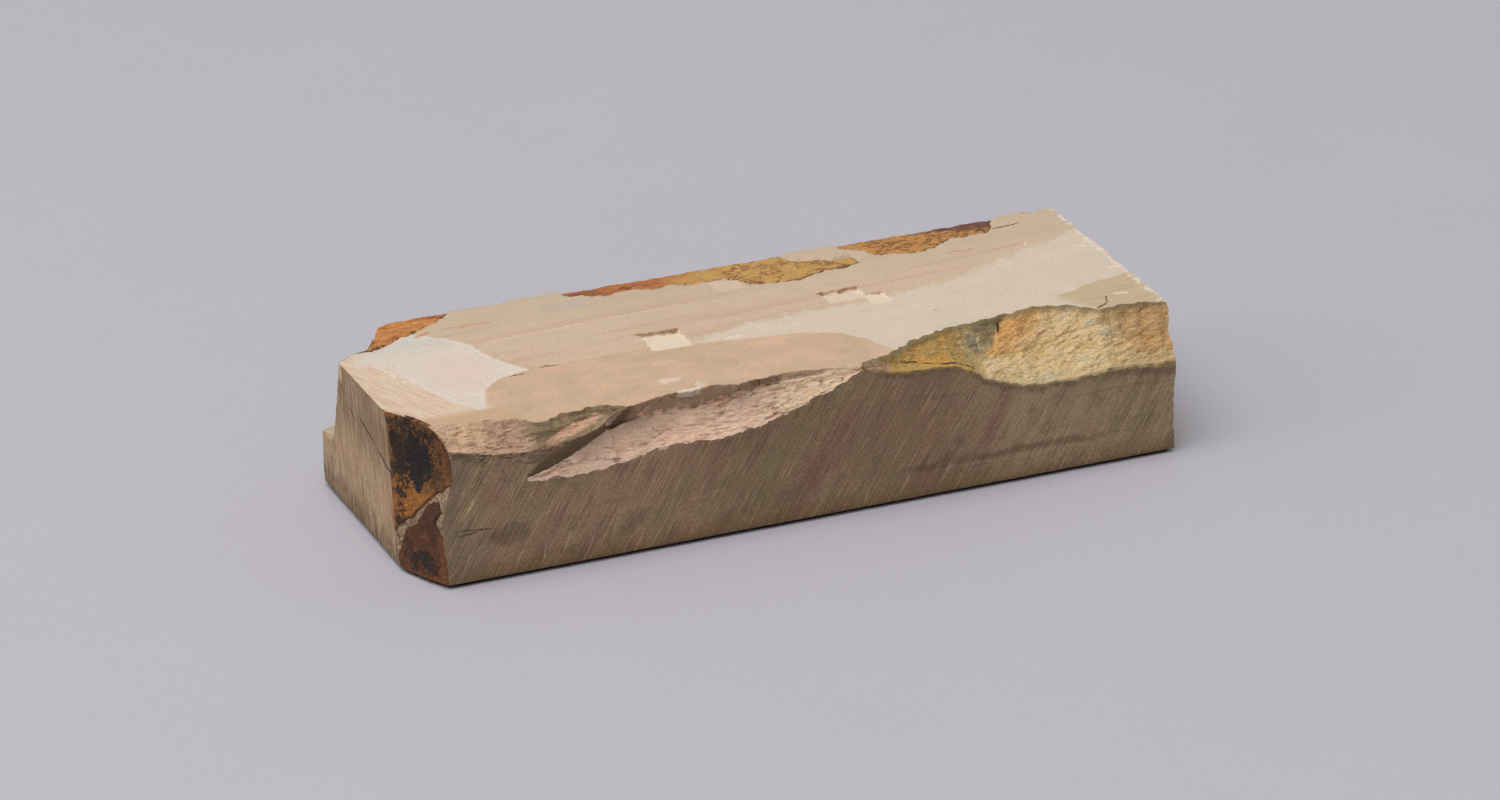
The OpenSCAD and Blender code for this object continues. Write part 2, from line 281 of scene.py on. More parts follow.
def edge_depth(s, upper, lower):
    """Depth of a flat cut through the front top edge between its rims, and the place between them, 0 to 1."""
    missing = 2 * (np.maximum(-upper, 0) + np.maximum(-lower, 0))
    upper, lower = np.maximum(upper, 0.1), np.maximum(lower, 0.1)
    t = (s + lower) / (upper + lower)
    return lower + (upper - lower) * np.clip(t, -0.5, 1.5) - missing, np.clip(t, 0, 1)


def left_break_depth(x, s):
    """Depth of the rough break along the left of the edge, and its own relief."""
    upper, lower = left_break(x + 0.8 * noise(x, s, 3, 3))
    upper = upper + 0.7 * noise(x, x, 2.2, 5) + 0.3 * noise(x, x, 0.9, 6)
    lower = lower + 0.35 * noise(x, x, 2.6, 7)
    depth, t = edge_depth(s, upper, lower)
    swell = np.sin(np.pi * t) ** 0.7
    slope = 1.5 * fractal(x * 0.3, s, 4.0, 11, 3) + 0.35 * s + 0.5 * noise(x * 0.5, s, 1.2, 12)
    rough = (0.8 * (terraces(slope, 0.8) - 0.35 * s) + 0.85 * facets(x * 0.38, s, 1.15, 13)
             + 0.28 * facets(x * 0.5, s + 0.2 * x, 0.7, 16) + 0.15 * fractal(x, s, 1.2, 14, 2))
    return depth + swell * (1.0 + 0.62 * rough) + 0.12 * noise(x, s, 1.4, 15), rough


# [x, s of one end, x, s of the other, how much deeper the side to its left lies]
SHELL_CRACKS = [
    (-44.5, -10.4, -38.6, -9.0, 0.9), (-38.8, -8.2, -30.4, -0.6, 0.8), (-20.4, -2.6, -16.0, 1.8, 1.0),
    (-58.5, -14.2, -53.5, -12.8, 0.6), (-10.5, 1.8, -1.0, 1.4, 0.8), (-24.5, -5.6, -17.0, -4.2, 0.6),
    (-7.0, -0.6, 1.5, -0.8, 0.7), (-14.0, -7.6, -6.5, -6.6, 0.6), (1.5, -1.4, 7.5, -1.2, 0.6),
]


def shell_ripples(x, s):
    """Ripples, flake scars and thin steps that spread from where the blow fell, at the top edge."""
    away = np.hypot(x + 30, (s + 1) * 1.5)
    warp = fractal(x * 0.5, s, 6, 24, 3)
    ripple = 0.12 * np.sin(away * 0.9 + 1.6 * warp)
    slope = 0.55 * s + 1.6 * warp + 0.06 * x
    steps = terraces(slope, 1.15) - slope
    small_slope = 0.6 * s + 1.4 * fractal(x * 0.6, s, 2.6, 31, 2)
    small = terraces(small_slope, 0.5) - small_slope
    flaked = 0.5 * facets(x * 0.45, s, 2.0, 32) + 0.32 * facets(x * 0.6, s, 0.9, 33)
    # a few cracks where a flake lifted: one side stands a little higher
    lifted = 0.0
    for ax, a_s, bx, b_s, rise in SHELL_CRACKS:
        length = math.hypot(bx - ax, b_s - a_s)
        run = ((x - ax) * (bx - ax) + (s - a_s) * (b_s - a_s)) / length
        off = ((s - a_s) * (bx - ax) - (x - ax) * (b_s - a_s)) / length + 0.5 * warp
        lifted = (lifted
                  + rise * ramp(off, -0.15, 0.15) * ramp(3.2 - off, 0, 3) * ramp(run, -0.6, 0.8)
                  * ramp(length - run, -0.6, 0.8))
    return ripple + 0.3 * scoops(x, s, 7.5, 25) + 0.75 * steps + 0.75 * small + flaked + lifted - 0.1


def middle_break_depth(x, s):
    """Right of the cove: a hollow face below a crease, and a rough wall up to the top edge.

    Gives the depth, its own relief, and how far a point lies up the wall.
    """
    upper, _, crease_in, crease_down, lower = middle_break(x)
    sunk = 1.9 * ramp(-x, 4, 16)
    crease_in, crease_down = crease_in + sunk, crease_down + 0.45 * sunk
    lower = lower + 0.35 * noise(x, x, 3.1, 21) + 0.2 * noise(x, x, 1.3, 22)
    s_mid, m_mid = crease_in - crease_down, crease_in + crease_down
    s_mid = s_mid + 0.5 * noise(x, x, 4, 19)
    s_up = np.maximum(upper + 0.6 * noise(x, x, 2.4, 23) + 0.3 * noise(x, x, 1.0, 20), s_mid + 0.5)
    t = np.clip((s + lower) / np.maximum(s_mid + lower, 0.3), -0.5, 1)
    face = lower + (m_mid - lower) * t + 0.9 * np.sin(np.pi * np.clip(t, 0, 1))
    v = np.clip((s - s_mid) / (s_up - s_mid), 0, 1)
    wall = m_mid + (upper - m_mid) * v - 1.5 * np.maximum(s - s_up, 0)
    slope = 0.9 * s + 1.3 * fractal(x * 0.35, s, 3.2, 27, 3)
    ledges = 0.9 * (terraces(slope, 0.7) - 0.9 * s) + 0.35 * facets(x * 0.6, s, 1.2, 28)
    on_face = ramp(s_mid - s, -0.3, 0.9)
    ripples = shell_ripples(x, s)
    thin = ramp(upper + lower, 2, 8)
    relief = on_face * ripples + (1 - on_face) * ledges
    depth = (np.where(s < s_mid, face, wall)
             + thin * (on_face * ripples + (1 - on_face) * ledges * (1 - v) * 0.8))
    return depth - 2 * np.maximum(-upper, 0) - 9 * ramp(-x, 48, 54), relief, s - s_mid


def cove_depth(x, z):
    """Left of that, the break runs on as a cove under the left break, cut straight in from the front.

    Gives the depth, its own relief, and how far up the wall a point lies, or -1 on the face below the crease.
    """
    upper_in, upper_down, crease_in, crease_down, lower = middle_break(x)
    down = TOP - z
    lower = lower + 0.35 * noise(x, x, 3.1, 21) + 0.2 * noise(x, x, 1.3, 22)
    upper_down = upper_down + 0.3 * noise(x, x, 2.0, 29)
    t = np.clip((lower - down) / (lower - crease_down), -0.5, 1)
    ripples = shell_ripples(x, -down)
    face = crease_in * t + 0.5 * np.sin(np.pi * np.clip(t, 0, 1)) + 0.7 * ramp(t, 0.02, 0.2) * ripples
    v = (crease_down - down) / np.maximum(crease_down - upper_down, 0.3)
    rough = fractal(x * 0.8, down, 1.6, 30, 3)
    wall = crease_in + (upper_in - crease_in) * v + 0.12 * rough
    wall = np.where(v > 1, upper_in - 2 * (upper_down - down), wall)
    on_wall = down < crease_down
    depth = (np.where(on_wall, wall, face) - 0.5 * np.maximum(down - lower, 0) - 9 * ramp(x, -44, -38)
             - 2 * np.maximum(-72.6 - x, 0))
    return depth, np.where(on_wall, 0.4 * rough, ripples), np.where(on_wall, crease_down - down, -1)


def natural_front_depth(x, s):
    """Depth of the natural face at the right of the edge, and its own relief."""
    upper, lower = natural_front(x + 0.6 * noise(x, s, 3.5, 31))
    upper = upper + 0.6 * noise(x, x, 3, 32) + 0.3 * noise(x, x, 1.2, 33)
    lower = lower + 0.35 * noise(x, x, 4, 34) + 0.2 * noise(x, x, 1.3, 35)
    depth, t = edge_depth(s, upper, lower)
    hollow = np.minimum(3.2, 0.15 * np.hypot(upper, lower)) * np.sin(np.pi * t)
    # left of a slanting step the surface lies deeper and is smoother
    step = ramp(x - (52.5 + 0.55 * s) + 0.8 * noise(x, s, 4, 36), -1.2, 1.2)
    lean_x, lean_s = x * 0.88 + s * 0.47, s * 0.88 - x * 0.47
    slope = 1.6 * fractal(lean_x * 0.55, lean_s, 3.0, 37, 3) + 0.25 * lean_s
    coarse = (0.3 * (terraces(slope, 0.75) - 0.25 * lean_s) + 0.6 * facets(lean_x * 0.8, lean_s, 2.2, 45)
              + 0.75 * (0.55 - grains(lean_x * 0.85, lean_s, 1.25, 38))
              + 0.5 * (0.55 - grains(lean_x * 0.95, lean_s, 0.8, 41)))
    smooth = (0.4 * fractal(x * 0.5, s, 3.5, 39)
              + 0.6 * (terraces(fractal(x * 0.4, s, 4, 40) + 0.3 * s, 0.6) - 0.3 * s)
              + 0.35 * facets(x * 0.5, s, 1.4, 46))
    rim = ramp(np.minimum(t, 1 - t) * (upper + lower), 0, 2.5)
    relief = coarse * step + (smooth + 0.9) * (1 - step)
    return depth + hollow + rim * relief, relief


def foot(z):
    """How far the stone is worn in round its foot, at a height."""
    return 1.4 * ramp(1.4 - z, 0, 1.2)


def corner_height(u, z):
    """How far out the joint plane across the front left corner lies."""
    left_y, front_x, hollow = corner_levels(z)
    ends = []
    for px, py in ((end_x(left_y), left_y), (front_x, np.full_like(front_x, FRONT))):
        dx, dy = px - CORNER[0], py - CORNER[1]
        ends.append((dx * CORNER_ALONG[0] + dy * CORNER_ALONG[1], dx * CORNER_OUT[0] + dy * CORNER_OUT[1]))
    (u0, n0), (u1, n1) = ends
    t = (u - u0) / (u1 - u0)
    plane = n0 + (n1 - n0) * t - hollow * np.sin(np.pi * np.clip(t, 0, 1))
    return plane - 0.12 * (1 + noise(u, z, 6, 51)) - 0.06 * noise(u, z, 1.8, 52) - foot(z)


def bare_corner_height(u, z):
    """The same without its skins, which thin out towards the front face."""
    return corner_height(u, z) - SKIN * (0.15 + 0.85 * ramp(12.5 - u, 0, 4))


def rear_corner_height(u, z):
    """How far out the broken back left corner lies, with its ledge."""
    upper = (rear_corner_above(u + 0.9 * noise(z, z, 7, 61))[0] - 0.15 * (TOP - z) / 24 * u * 0.3
             + (TOP - z) * 0.2)
    lower = rear_corner_below(u)[0]
    edge = LEDGE + 0.5 * noise(u, u, 5, 62) + 0.05 * u
    below = ramp(edge - z, -0.25, 0.25)
    rough = 0.35 * facets(u, z, 3.4, 63) + 0.3 * fractal(u, z, 5, 64)
    return np.minimum(upper, lower) * (1 - below) + lower * below - 0.3 + rough * 0.6


# The quarryman's chisel marks: [x, y of the deep end, width, run to the front, turn in degrees, depth]
MARKS = [
    (-22.8, 2.8, 10.6, 10.6, -3, 1.2), (28.4, 8.4, 10.6, 7.0, 2, 1.1), (36.0, 3.6, 5.8, 6.4, -4, 0.8),
    (-28.6, -30.4, 6.2, 7.5, -6, 0.4), (3.4, 26.6, 8, 7.4, 0, 0.7),
]


def mark_depth(x, y):
    """The chisel marks on the working face: depth, distance inside them, distance inside their end walls."""
    depth, within, wall = np.zeros(np.shape(x)), np.full(np.shape(x), -9.0), np.full(np.shape(x), -9.0)
    for cx, cy, width, run, turn, deep in MARKS:
        c, s = math.cos(math.radians(turn)), math.sin(math.radians(turn))
        dx, dy = x - cx, y - cy
        across, back = dx * c + dy * s, -dx * s + dy * c
        across = across + 0.25 * noise(back, back + cx, 1.4, 71)
        back = back + 0.4 * noise(across + cx, across, 2.2, 72)
        edge = np.minimum(np.minimum(width / 2 - np.abs(across), -back), back + run)
        floor = deep * (1 + back / run) + 0.05 * np.sin(back * 2.4)
        depth = np.maximum(depth, np.clip(floor, 0, 2) * ramp(edge, -0.1, 0.35))
        within = np.maximum(within, edge)
        wall = np.maximum(
            wall,
            np.minimum(
                width / 2 + 0.8 - np.abs(across + 0.4),
                np.minimum(0.5 + back, 0.65 - back) - 0.4 * (1 - deep)))
    return depth, within, wall


def rear_fall(y, start):
    """The natural surface along the back edge falls away from `start`."""
    return TOP - REAR_SLOPE * np.maximum(y - start, 0)


# The skins along the back edge: outline, where the natural surface starts to fall, and seed
REAR_SKINS = {
    "rear_skin_left": (REAR_LEFT, 20, 81), "rear_skin_middle": (REAR_MIDDLE, 18, 85),
    "rear_skin_right": (REAR_RIGHT, 22, 89)}


def skin_rim(d):
    """How proud of the bare stone a skin stands, at a distance inside its rim."""
    return -0.4 + (SKIN + 0.4) * ramp(d, -0.45, 0.55)


def right_relief(y, z):
    """How far in from its plane the broken right end lies."""
    return (0.15 + 0.55 * scoops(y, z, 13, 91) + 0.4 * ramp(fractal(y, z, 9, 92), -0.6, 1)
            + 0.28 * facets(y, z * 1.3, 4, 93) + 0.14 * fractal(y, z, 2.2, 94)
            + 0.6 * ramp(z, 36.5, 40) * (0.7 + 0.3 * noise(y, y, 9, 95)))


def back_relief(x, z):
    """How far in from its plane the natural back lies."""
    return (0.2 + 0.9 * scoops(x * 0.7, z, 16, 101) + 0.5 * ramp(fractal(x, z, 14, 102), -0.6, 1)
            + 0.3 * facets(x * 0.6, z, 5, 103) + 0.16 * fractal(x, z, 2.4, 104)
            + 0.9 * ramp(z, 37, 40) * (0.6 + 0.6 * noise(x, x, 4, 105)))


def saw_front(x, z):
    """The saw's slanting lines across the front face, as a depth."""
    across = 0.866 * x - 0.5 * z + 0.6 * noise(x, z, 60, 111)
    lines = noise(across, across * 0 + z * 0.02, 1.9, 112) + 0.6 * noise(across, z * 0.02, 4.6, 113)
    return 0.05 * (1.6 + lines) + 0.03 * noise(x, z, 25, 114)


def saw_end(y, z):
    """The saw's nearly upright lines across the left end, as a depth."""
    across = 0.985 * y - 0.17 * z
    return 0.05 * (1.6 + noise(across, z * 0.02, 1.7, 121) + 0.6 * noise(across, z * 0.02, 5, 122))


def top_relief(x, y):
    """How far the working face dips."""
    return 0.03 * (1.2 + noise(x, y, 22, 131))


def shape_block(p, fields):
    """Moves points of the plain box onto the stone's real surface."""
    x, y, z = p.T.copy()
    # flat faces
    cove, cove_rough, up_wall = cove_depth(x, z)
    fields["cove"] = cove - (y - FRONT)
    worn_foot = foot(z)
    y = np.maximum(y, FRONT + np.maximum(saw_front(x, z), cove) + worn_foot)
    y = np.minimum(y, BACK - back_relief(x, z) - worn_foot)
    x = np.minimum(x, RIGHT - right_relief(y, z) - worn_foot)
    x = np.maximum(x, end_x(y) + saw_end(y, z) + worn_foot)
    worn, within, wall = mark_depth(x, y)
    fields["mark"], fields["mark_wall"] = np.minimum(within, 1.5 + z - TOP), np.minimum(wall, 1.5 + z - TOP)
    top = TOP - top_relief(x, y) - worn
    for outline, start, seed in REAR_SKINS.values():
        d = ragged_inside(x, y, outline, seed)
        pocket = rear_fall(y, start) - SKIN - 0.1
        top = np.minimum(top, np.where(d > -0.6, TOP + (pocket - TOP) * ramp(d, -0.6, 0.3), TOP))
    z = np.minimum(z, top)
    # broken front top edge: s runs over the edge from the front to the top, m is the depth in from it
    s, m = to_edge(y, z)
    left, left_rough = left_break_depth(x, s)
    middle, middle_rough, over_crease = middle_break_depth(x, s)
    natural, natural_rough = natural_front_depth(x, s)
    depths = [left, middle, natural + SKIN * DIAGONAL]
    for name, k in zip(("left_break", "middle_break", "natural_front"), range(3)):
        others = np.maximum(np.maximum(depths[(k + 1) % 3], depths[(k + 2) % 3]), m)
        fields[name] = depths[k] - others
    fields["relief"] = (np.where(fields["left_break"] > 0, left_rough, 0)
                        + np.where(fields["middle_break"] > 0, middle_rough, 0)
                        + np.where(fields["natural_front"] > 0, natural_rough, 0))
    in_cove = (fields["cove"] > 0) & (np.maximum.reduce(depths) <= m)
    fields["relief"] = np.where(in_cove, cove_rough, fields["relief"])
    fields["wall"] = np.where(fields["cove"] > 0, up_wall, -1)
    fields["over_crease"] = over_crease
    m = np.maximum(m, np.maximum.reduce(depths))
    y, z = from_edge(s, m)
    # the front left and back left corners
    for out, way, middle, height, name in (
        (CORNER_OUT, CORNER_ALONG, CORNER, bare_corner_height, "corner"),
        (REAR_OUT, REAR_ALONG, REAR_CORNER, rear_corner_height, "rear_corner")):
        u = (x - middle[0]) * way[0] + (y - middle[1]) * way[1]
        n = (x - middle[0]) * out[0] + (y - middle[1]) * out[1]
        over = n - height(u, z)
        fields[name] = over
        cut = np.maximum(over, 0)
        x, y = x - cut * out[0], y - cut * out[1]
    return np.stack([x, y, z], 1)


# ---------------------------------------------------------------- meshes


def make_object(name, points, faces, fields, material_slot, nodes):
    """A piece from points in millimetres, with its fields as numbers on its vertices."""
    mesh = bpy.data.meshes.new(name)
    mesh.from_pydata((points * MM).tolist(), [], faces)
    mesh.update()
    mesh.attributes.new("place", "FLOAT_VECTOR", "POINT").data.foreach_set(
        "vector", points.astype(np.float32).ravel())
    for key, values in fields.items():
        mesh.attributes.new(key, "FLOAT", "POINT").data.foreach_set("value", np.asarray(values, np.float32))
    piece = bpy.data.objects.new(name, mesh)
    bpy.context.scene.collection.objects.link(piece)
    mesh.shade_smooth()
    mesh.set_sharp_from_angle(angle=SHARP_ANGLE)
    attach(piece, "root")
    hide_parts(*nodes)
    return piece


def spaced(*stops):
    """Positions from stop to stop: (start, step), (start, step), ..., end."""
    out = []
    for (a, step), b in zip(stops, [s[0] for s in stops[1:-1]] + [stops[-1]]):
        out.extend(np.linspace(a, b, max(1, round((b - a) / step)), endpoint=False))
    return np.array(out + [stops[-1]])


def box_lattice(xs, ys, zs):
    """A box's surface as a grid of quads, with one plain face underneath."""
    ids, points, faces = {}, [], []

    def vertex(i, j, k):
        key = (i, j, k)
        if key not in ids:
            ids[key] = len(points)
            points.append((xs[i], ys[j], zs[k]))
        return ids[key]

    def quad(*corners):
        faces.append([vertex(*corner) for corner in corners])

    nx, ny, nz = len(xs) - 1, len(ys) - 1, len(zs) - 1
    for i in range(nx):
        for j in range(ny):
            quad((i, j, nz), (i + 1, j, nz), (i + 1, j + 1, nz), (i, j + 1, nz))
        for k in range(nz):
            quad((i, 0, k), (i + 1, 0, k), (i + 1, 0, k + 1), (i, 0, k + 1))
            quad((i + 1, ny, k), (i, ny, k), (i, ny, k + 1), (i + 1, ny, k + 1))
    for j in range(ny):
        for k in range(nz):
            quad((0, j + 1, k), (0, j, k), (0, j, k + 1), (0, j + 1, k + 1))
            quad((nx, j, k), (nx, j + 1, k), (nx, j + 1, k + 1), (nx, j, k + 1))
    rim = ([(i, 0) for i in range(nx)] + [(nx, j) for j in range(ny)] + [(i, ny) for i in range(nx, 0, -1)]
           + [(0, j) for j in range(ny, 0, -1)])
    quad(*((i, j, 0) for i, j in reversed(rim)))
    return np.array(points), faces


def largest_island(keep):
    """The largest group of cells that share sides, as a grid of the same size."""
    left, best = {(int(i), int(j)) for i, j in zip(*np.nonzero(keep))}, []
    while left:
        island = [left.pop()]
        for i, j in island:
            for cell in ((i - 1, j), (i + 1, j), (i, j - 1), (i, j + 1)):
                if cell in left:
                    left.remove(cell)
                    island.append(cell)
        best = max(best, island, key=len)
    kept = np.zeros_like(keep)
    kept[tuple(zip(*best))] = True
    return kept


def whole(keep):
    """One island of cells, in which no two cells meet at a corner alone."""
    keep = keep.copy()
    while True:
        a, b, c, d = keep[:-1, :-1], keep[1:, 1:], keep[1:, :-1], keep[:-1, 1:]
        falling, rising = a & b & ~c & ~d, c & d & ~a & ~b
        if not (falling.any() or rising.any()):
            return largest_island(keep)
        keep[1:, 1:] &= ~falling
        keep[1:, :-1] &= ~rising


def filled(near):
    """The cells of a grid whose four corners are all marked."""
    return near[:-1, :-1] & near[1:, :-1] & near[:-1, 1:] & near[1:, 1:]


def shell(rows, columns, outer, inner, keep):
    """A closed shell between two grids of points, outer and inner, where keep says which cells exist."""
    keep = whole(keep)
    used = np.zeros((rows, columns), bool)
    for i in (0, 1):
        for j in (0, 1):
            used[i : rows - 1 + i, j : columns - 1 + j] |= keep
    number = np.cumsum(used).reshape(rows, columns) - 1
    count = int(used.sum())
    faces = []
    for i, j in zip(*np.nonzero(keep)):
        quad = [number[i, j], number[i + 1, j], number[i + 1, j + 1], number[i, j + 1]]
        faces.append([int(v) for v in quad])
        faces.append([int(v) + count for v in reversed(quad)])
        for (di, dj), (v, w) in zip(((0, -1), (1, 0), (0, 1), (-1, 0)), zip(quad, quad[1:] + quad[:1])):
            ni, nj = i + di, j + dj
            if not (0 <= ni < rows - 1 and 0 <= nj < columns - 1 and keep[ni, nj]):
                faces.append([int(w), int(v), int(v) + count, int(w) + count])
    return np.concatenate([outer[used], inner[used]]), faces, used


def refine(points, faces, chosen):
    """Splits the chosen quads in four. Their neighbours take up the new points on shared edges."""
    points, middle = [tuple(p) for p in points], {}

    def halfway(a, b):
        key = (min(a, b), max(a, b))
        if key not in middle:
            middle[key] = len(points)
            points.append(tuple((p + q) / 2 for p, q in zip(points[a], points[b])))
        return middle[key]

    out = []
    for face, split in zip(faces, chosen):
        if split:
            a, b, c, d = face
            ab, bc, cd, da, centre = halfway(a, b), halfway(b, c), halfway(c, d), halfway(d, a), len(points)
            points.append(tuple((p + q) / 2 for p, q in zip(points[a], points[c])))
            out += [[a, ab, centre, da], [ab, b, bc, centre], [centre, bc, c, cd], [da, centre, cd, d]]
    for face, split in zip(faces, chosen):
        if not split:
            ring = []
            for a, b in zip(face, face[1:] + face[:1]):
                ring.append(a)
                if (min(a, b), max(a, b)) in middle:
                    ring.append(middle[min(a, b), max(a, b)])
            out.append(ring)
    return np.array(points), out


# Lines across the working face, as [x, y]: the tan rock lies in front of one, the cream band of the other
TAN_LINE = along(
    [
        (-77, -14), (-73.3, -9.8), (-68.2, -6.4), (-62.5, -5), (-46.9, -5.3), (-31.1, -5.6), (-6.2, -9.7),
        (9.2, -11.7), (18.3, -15.6), (23.5, -22.2), (26.1, -28.5), (30, -40),
    ])
CREAM_LINE = along(
    [(-24, -6), (-18, -6), (3.1, -0.6), (27.5, -1.1), (57.2, 3.2), (91.7, 16.2), (103.6, 21.2)])


BLOCK_PARTS = "side", "front", "top"


def build_stone():
    """The block itself, with the fields that its materials read."""
    step = 0.8
    points, faces = box_lattice(
        spaced((LEFT, step), RIGHT),
        spaced((FRONT, step), (-16, step * 1.2), BACK),
        spaced((0, 0.37), (1.5, step * 1.4), (22, step), TOP))
    quads, base = faces[:-1], faces[-1]
    x, y, z = points[np.array(quads)].mean(1).T
    edge = (y - FRONT + TOP - z < 17) & ((y - FRONT < 0.1) | (TOP - z < 0.1))
    near_corner = (x < -87) & (y < -13) & (z < TOP - 0.1)
    marked = (z > TOP - 0.1) & (mark_depth(x, y)[1] > -1.5)
    points, faces = refine(points, quads + [base], list(edge | near_corner | marked) + [False])
    lean = 1 - ramp(points[:, 0], LEFT, -85)
    points[:, 0] += lean * (end_x(points[:, 1]) - LEFT)
    fields = {}
    shaped = shape_block(points, fields)
    x, y, z = shaped.T
    down, in_front, in_left, in_right, in_back = TOP - z, y - FRONT, x - end_x(y), RIGHT - x, BACK - y
    away = [down, in_front, in_left, in_right, in_back, z]
    for name, k in (("is_right", 3), ("is_back", 4)):
        fields[name] = np.minimum.reduce([v for i, v in enumerate(away) if i != k]) - away[k]
    broken = [
        fields[name]
        for name in (
            "left_break", "middle_break", "natural_front", "cove", "corner", "rear_corner", "is_right",
            "is_back")]
    fields["broken"] = ramp(np.maximum.reduce(broken), -0.1, 0.2)
    fields["leaf"] = inside(x, y, LEAF)
    fields["tan_line"], fields["cream_line"] = y - TAN_LINE(x)[0], y - CREAM_LINE(x)[0]
    block = make_object("whetstone_block", shaped, faces, fields, "stone", ["stone"])
    nearest = np.argmin([in_left, in_right, in_back, z, in_front, down], axis=0)
    # the index of the nearest side, less 3, is the place in BLOCK_PARTS: 0 for all but the front and the top
    for corners, polygon in zip(faces, block.data.polygons):
        sides = [max(0, nearest[i] - 3) for i in corners]
        polygon.material_index = max(sides, key=sides.count)
    return block


def build_front_skin():
    """The ochre skin over the natural part of the front top edge."""
    xs = spaced((11.5, 0.45), 103.5)
    ss = spaced((-17, 0.4), 18.5)
    x, s = np.meshgrid(xs, ss, indexing="ij")
    flat_x, flat_s = x.ravel(), s.ravel()
    depth, _ = natural_front_depth(flat_x, flat_s)
    # how far inside its own bed a point is, and how much of the skin the middle break has left
    bed = np.minimum(
        depth + SKIN * DIAGONAL - np.abs(flat_s),
        2 * (depth - middle_break_depth(flat_x, flat_s)[0]))
    pieces = []
    for extra in (0.0, SKIN * DIAGONAL + 0.8):
        m = np.maximum(depth, np.abs(flat_s)) + extra
        px, (py, pz) = flat_x, from_edge(flat_s, m)
        py = np.maximum(py, FRONT + saw_front(px, pz) + 0.05)
        pz = np.minimum(pz, TOP - top_relief(px, py) - 0.05)
        px = np.minimum(px, RIGHT - right_relief(py, pz) - 0.03)
        pieces.append(np.stack([px, py, pz], 1).reshape(len(xs), len(ss), 3))
    near = (bed > -0.5).reshape(x.shape)
    keep = filled(near)
    keep &= (pieces[0][1:, :-1, 0] - pieces[0][:-1, :-1, 0]) > 0.02
    points, faces, used = shell(len(xs), len(ss), pieces[0], pieces[1], keep)
    rim = bed[used.ravel()]
    return make_object(
        "front_natural_skin", points, faces, {"rim": np.tile(rim, 2)}, "front_skin", ["front_skin"])


def build_corner_skin(name, outline, seed, node):
    """A dark skin on the front left corner."""
    us, zs = spaced((-13, 0.3), 13), spaced((0.02, 0.3), 39.45)
    u, z = np.meshgrid(us, zs, indexing="ij")
    fu, fz = u.ravel(), z.ravel()
    d = ragged_inside(fu, fz, outline, seed, 0.6)
    surface, bare = corner_height(fu, fz), bare_corner_height(fu, fz)
    proud = 0.10 * noise(fu, fz, 2.2, seed + 5) + 0.06 * noise(fu, fz, 0.9, seed + 6) - 0.1
    layers = []
    for n in (bare - 0.4 + (surface + proud - bare + 0.4) * ramp(d, -0.45, 0.55), bare - 0.9):
        x = CORNER[0] + fu * CORNER_ALONG[0] + n * CORNER_OUT[0]
        y = CORNER[1] + fu * CORNER_ALONG[1] + n * CORNER_OUT[1]
        y = np.maximum(y, FRONT + saw_front(x, fz) + 0.04 + foot(fz))
        x = np.maximum(x, end_x(y) + saw_end(y, fz) + 0.04 + foot(fz))
        height = fz.copy()
        s, m = to_edge(y, height)
        broken = left_break_depth(x, s)[0] + 0.05 - m
        m = np.maximum(m, m + broken)
        y, height = from_edge(s, m)
        layers.append(np.stack([x, y, height], 1).reshape(len(us), len(zs), 3))
    near = ((d > -0.75) & (broken < 0.4)).reshape(u.shape)
    keep = filled(near)
    step = np.linalg.norm(layers[0][1:, :-1] - layers[0][:-1, :-1], axis=2)
    keep &= step > 0.03
    points, faces, used = shell(len(us), len(zs), layers[0], layers[1], keep)
    return make_object(name, points, faces, {"rim": np.tile(d[used.ravel()], 2)}, node, [node])


def build_rear_skin(node):
    """A rusty skin on the back edge."""
    outline, start, seed = REAR_SKINS[node]
    xs = spaced((min(p[0] for p in outline) - 2, 0.4), max(p[0] for p in outline) + 2)
    ys = spaced((16, 0.4), 36.8)
    x, y = np.meshgrid(xs, ys, indexing="ij")
    fx, fy = x.ravel(), y.ravel()
    d = ragged_inside(fx, fy, outline, seed)
    relief = (0.16 * noise(fx, fy, 4, seed + 5) + 0.10 * noise(fx, fy, 1.5, seed + 6)
              + 0.12 * facets(fx * 0.6, fy, 2.2, seed + 7))
    surface = np.minimum(rear_fall(fy, start) - SKIN + skin_rim(d) - 0.12 + relief, TOP - 0.02)
    layers = []
    for height in (surface, rear_fall(fy, start) - SKIN - 0.9):
        px, py = fx.copy(), fy.copy()
        py = np.minimum(py, BACK - back_relief(px, height) - 0.03)
        ru = (px - REAR_CORNER[0]) * REAR_ALONG[0] + (py - REAR_CORNER[1]) * REAR_ALONG[1]
        rn = (px - REAR_CORNER[0]) * REAR_OUT[0] + (py - REAR_CORNER[1]) * REAR_OUT[1]
        over = np.maximum(rn - rear_corner_height(ru, height) + 0.04, 0)
        px, py = px - over * REAR_OUT[0], py - over * REAR_OUT[1]
        layers.append(np.stack([px, py, height], 1).reshape(len(xs), len(ys), 3))
    near = (d > -0.75).reshape(x.shape)
    keep = filled(near)
    corners = layers[0]
    side = corners[1:, 1:] - corners[:-1, :-1]
    other = corners[1:, :-1] - corners[:-1, 1:]
    keep &= np.linalg.norm(np.cross(side, other), axis=2) > 0.03
    points, faces, used = shell(len(xs), len(ys), layers[0], layers[1], keep)
    return make_object(node + "_layer", points, faces, {"rim": np.tile(d[used.ravel()], 2)}, node, [node])


# ---------------------------------------------------------------- materials


BRIGHTNESS = 1.14  # how strongly the lamps light a flat surface


def colour(r, g, b, light=1.0):
    """The linear colour of a surface that looks like this, 0 to 255, where it gets `light`."""
    return (tuple(min(0.9, ((c / 255 + 0.055) / 1.055) ** 2.4 / light / BRIGHTNESS) for c in (r, g, b))
            + (1.0,))


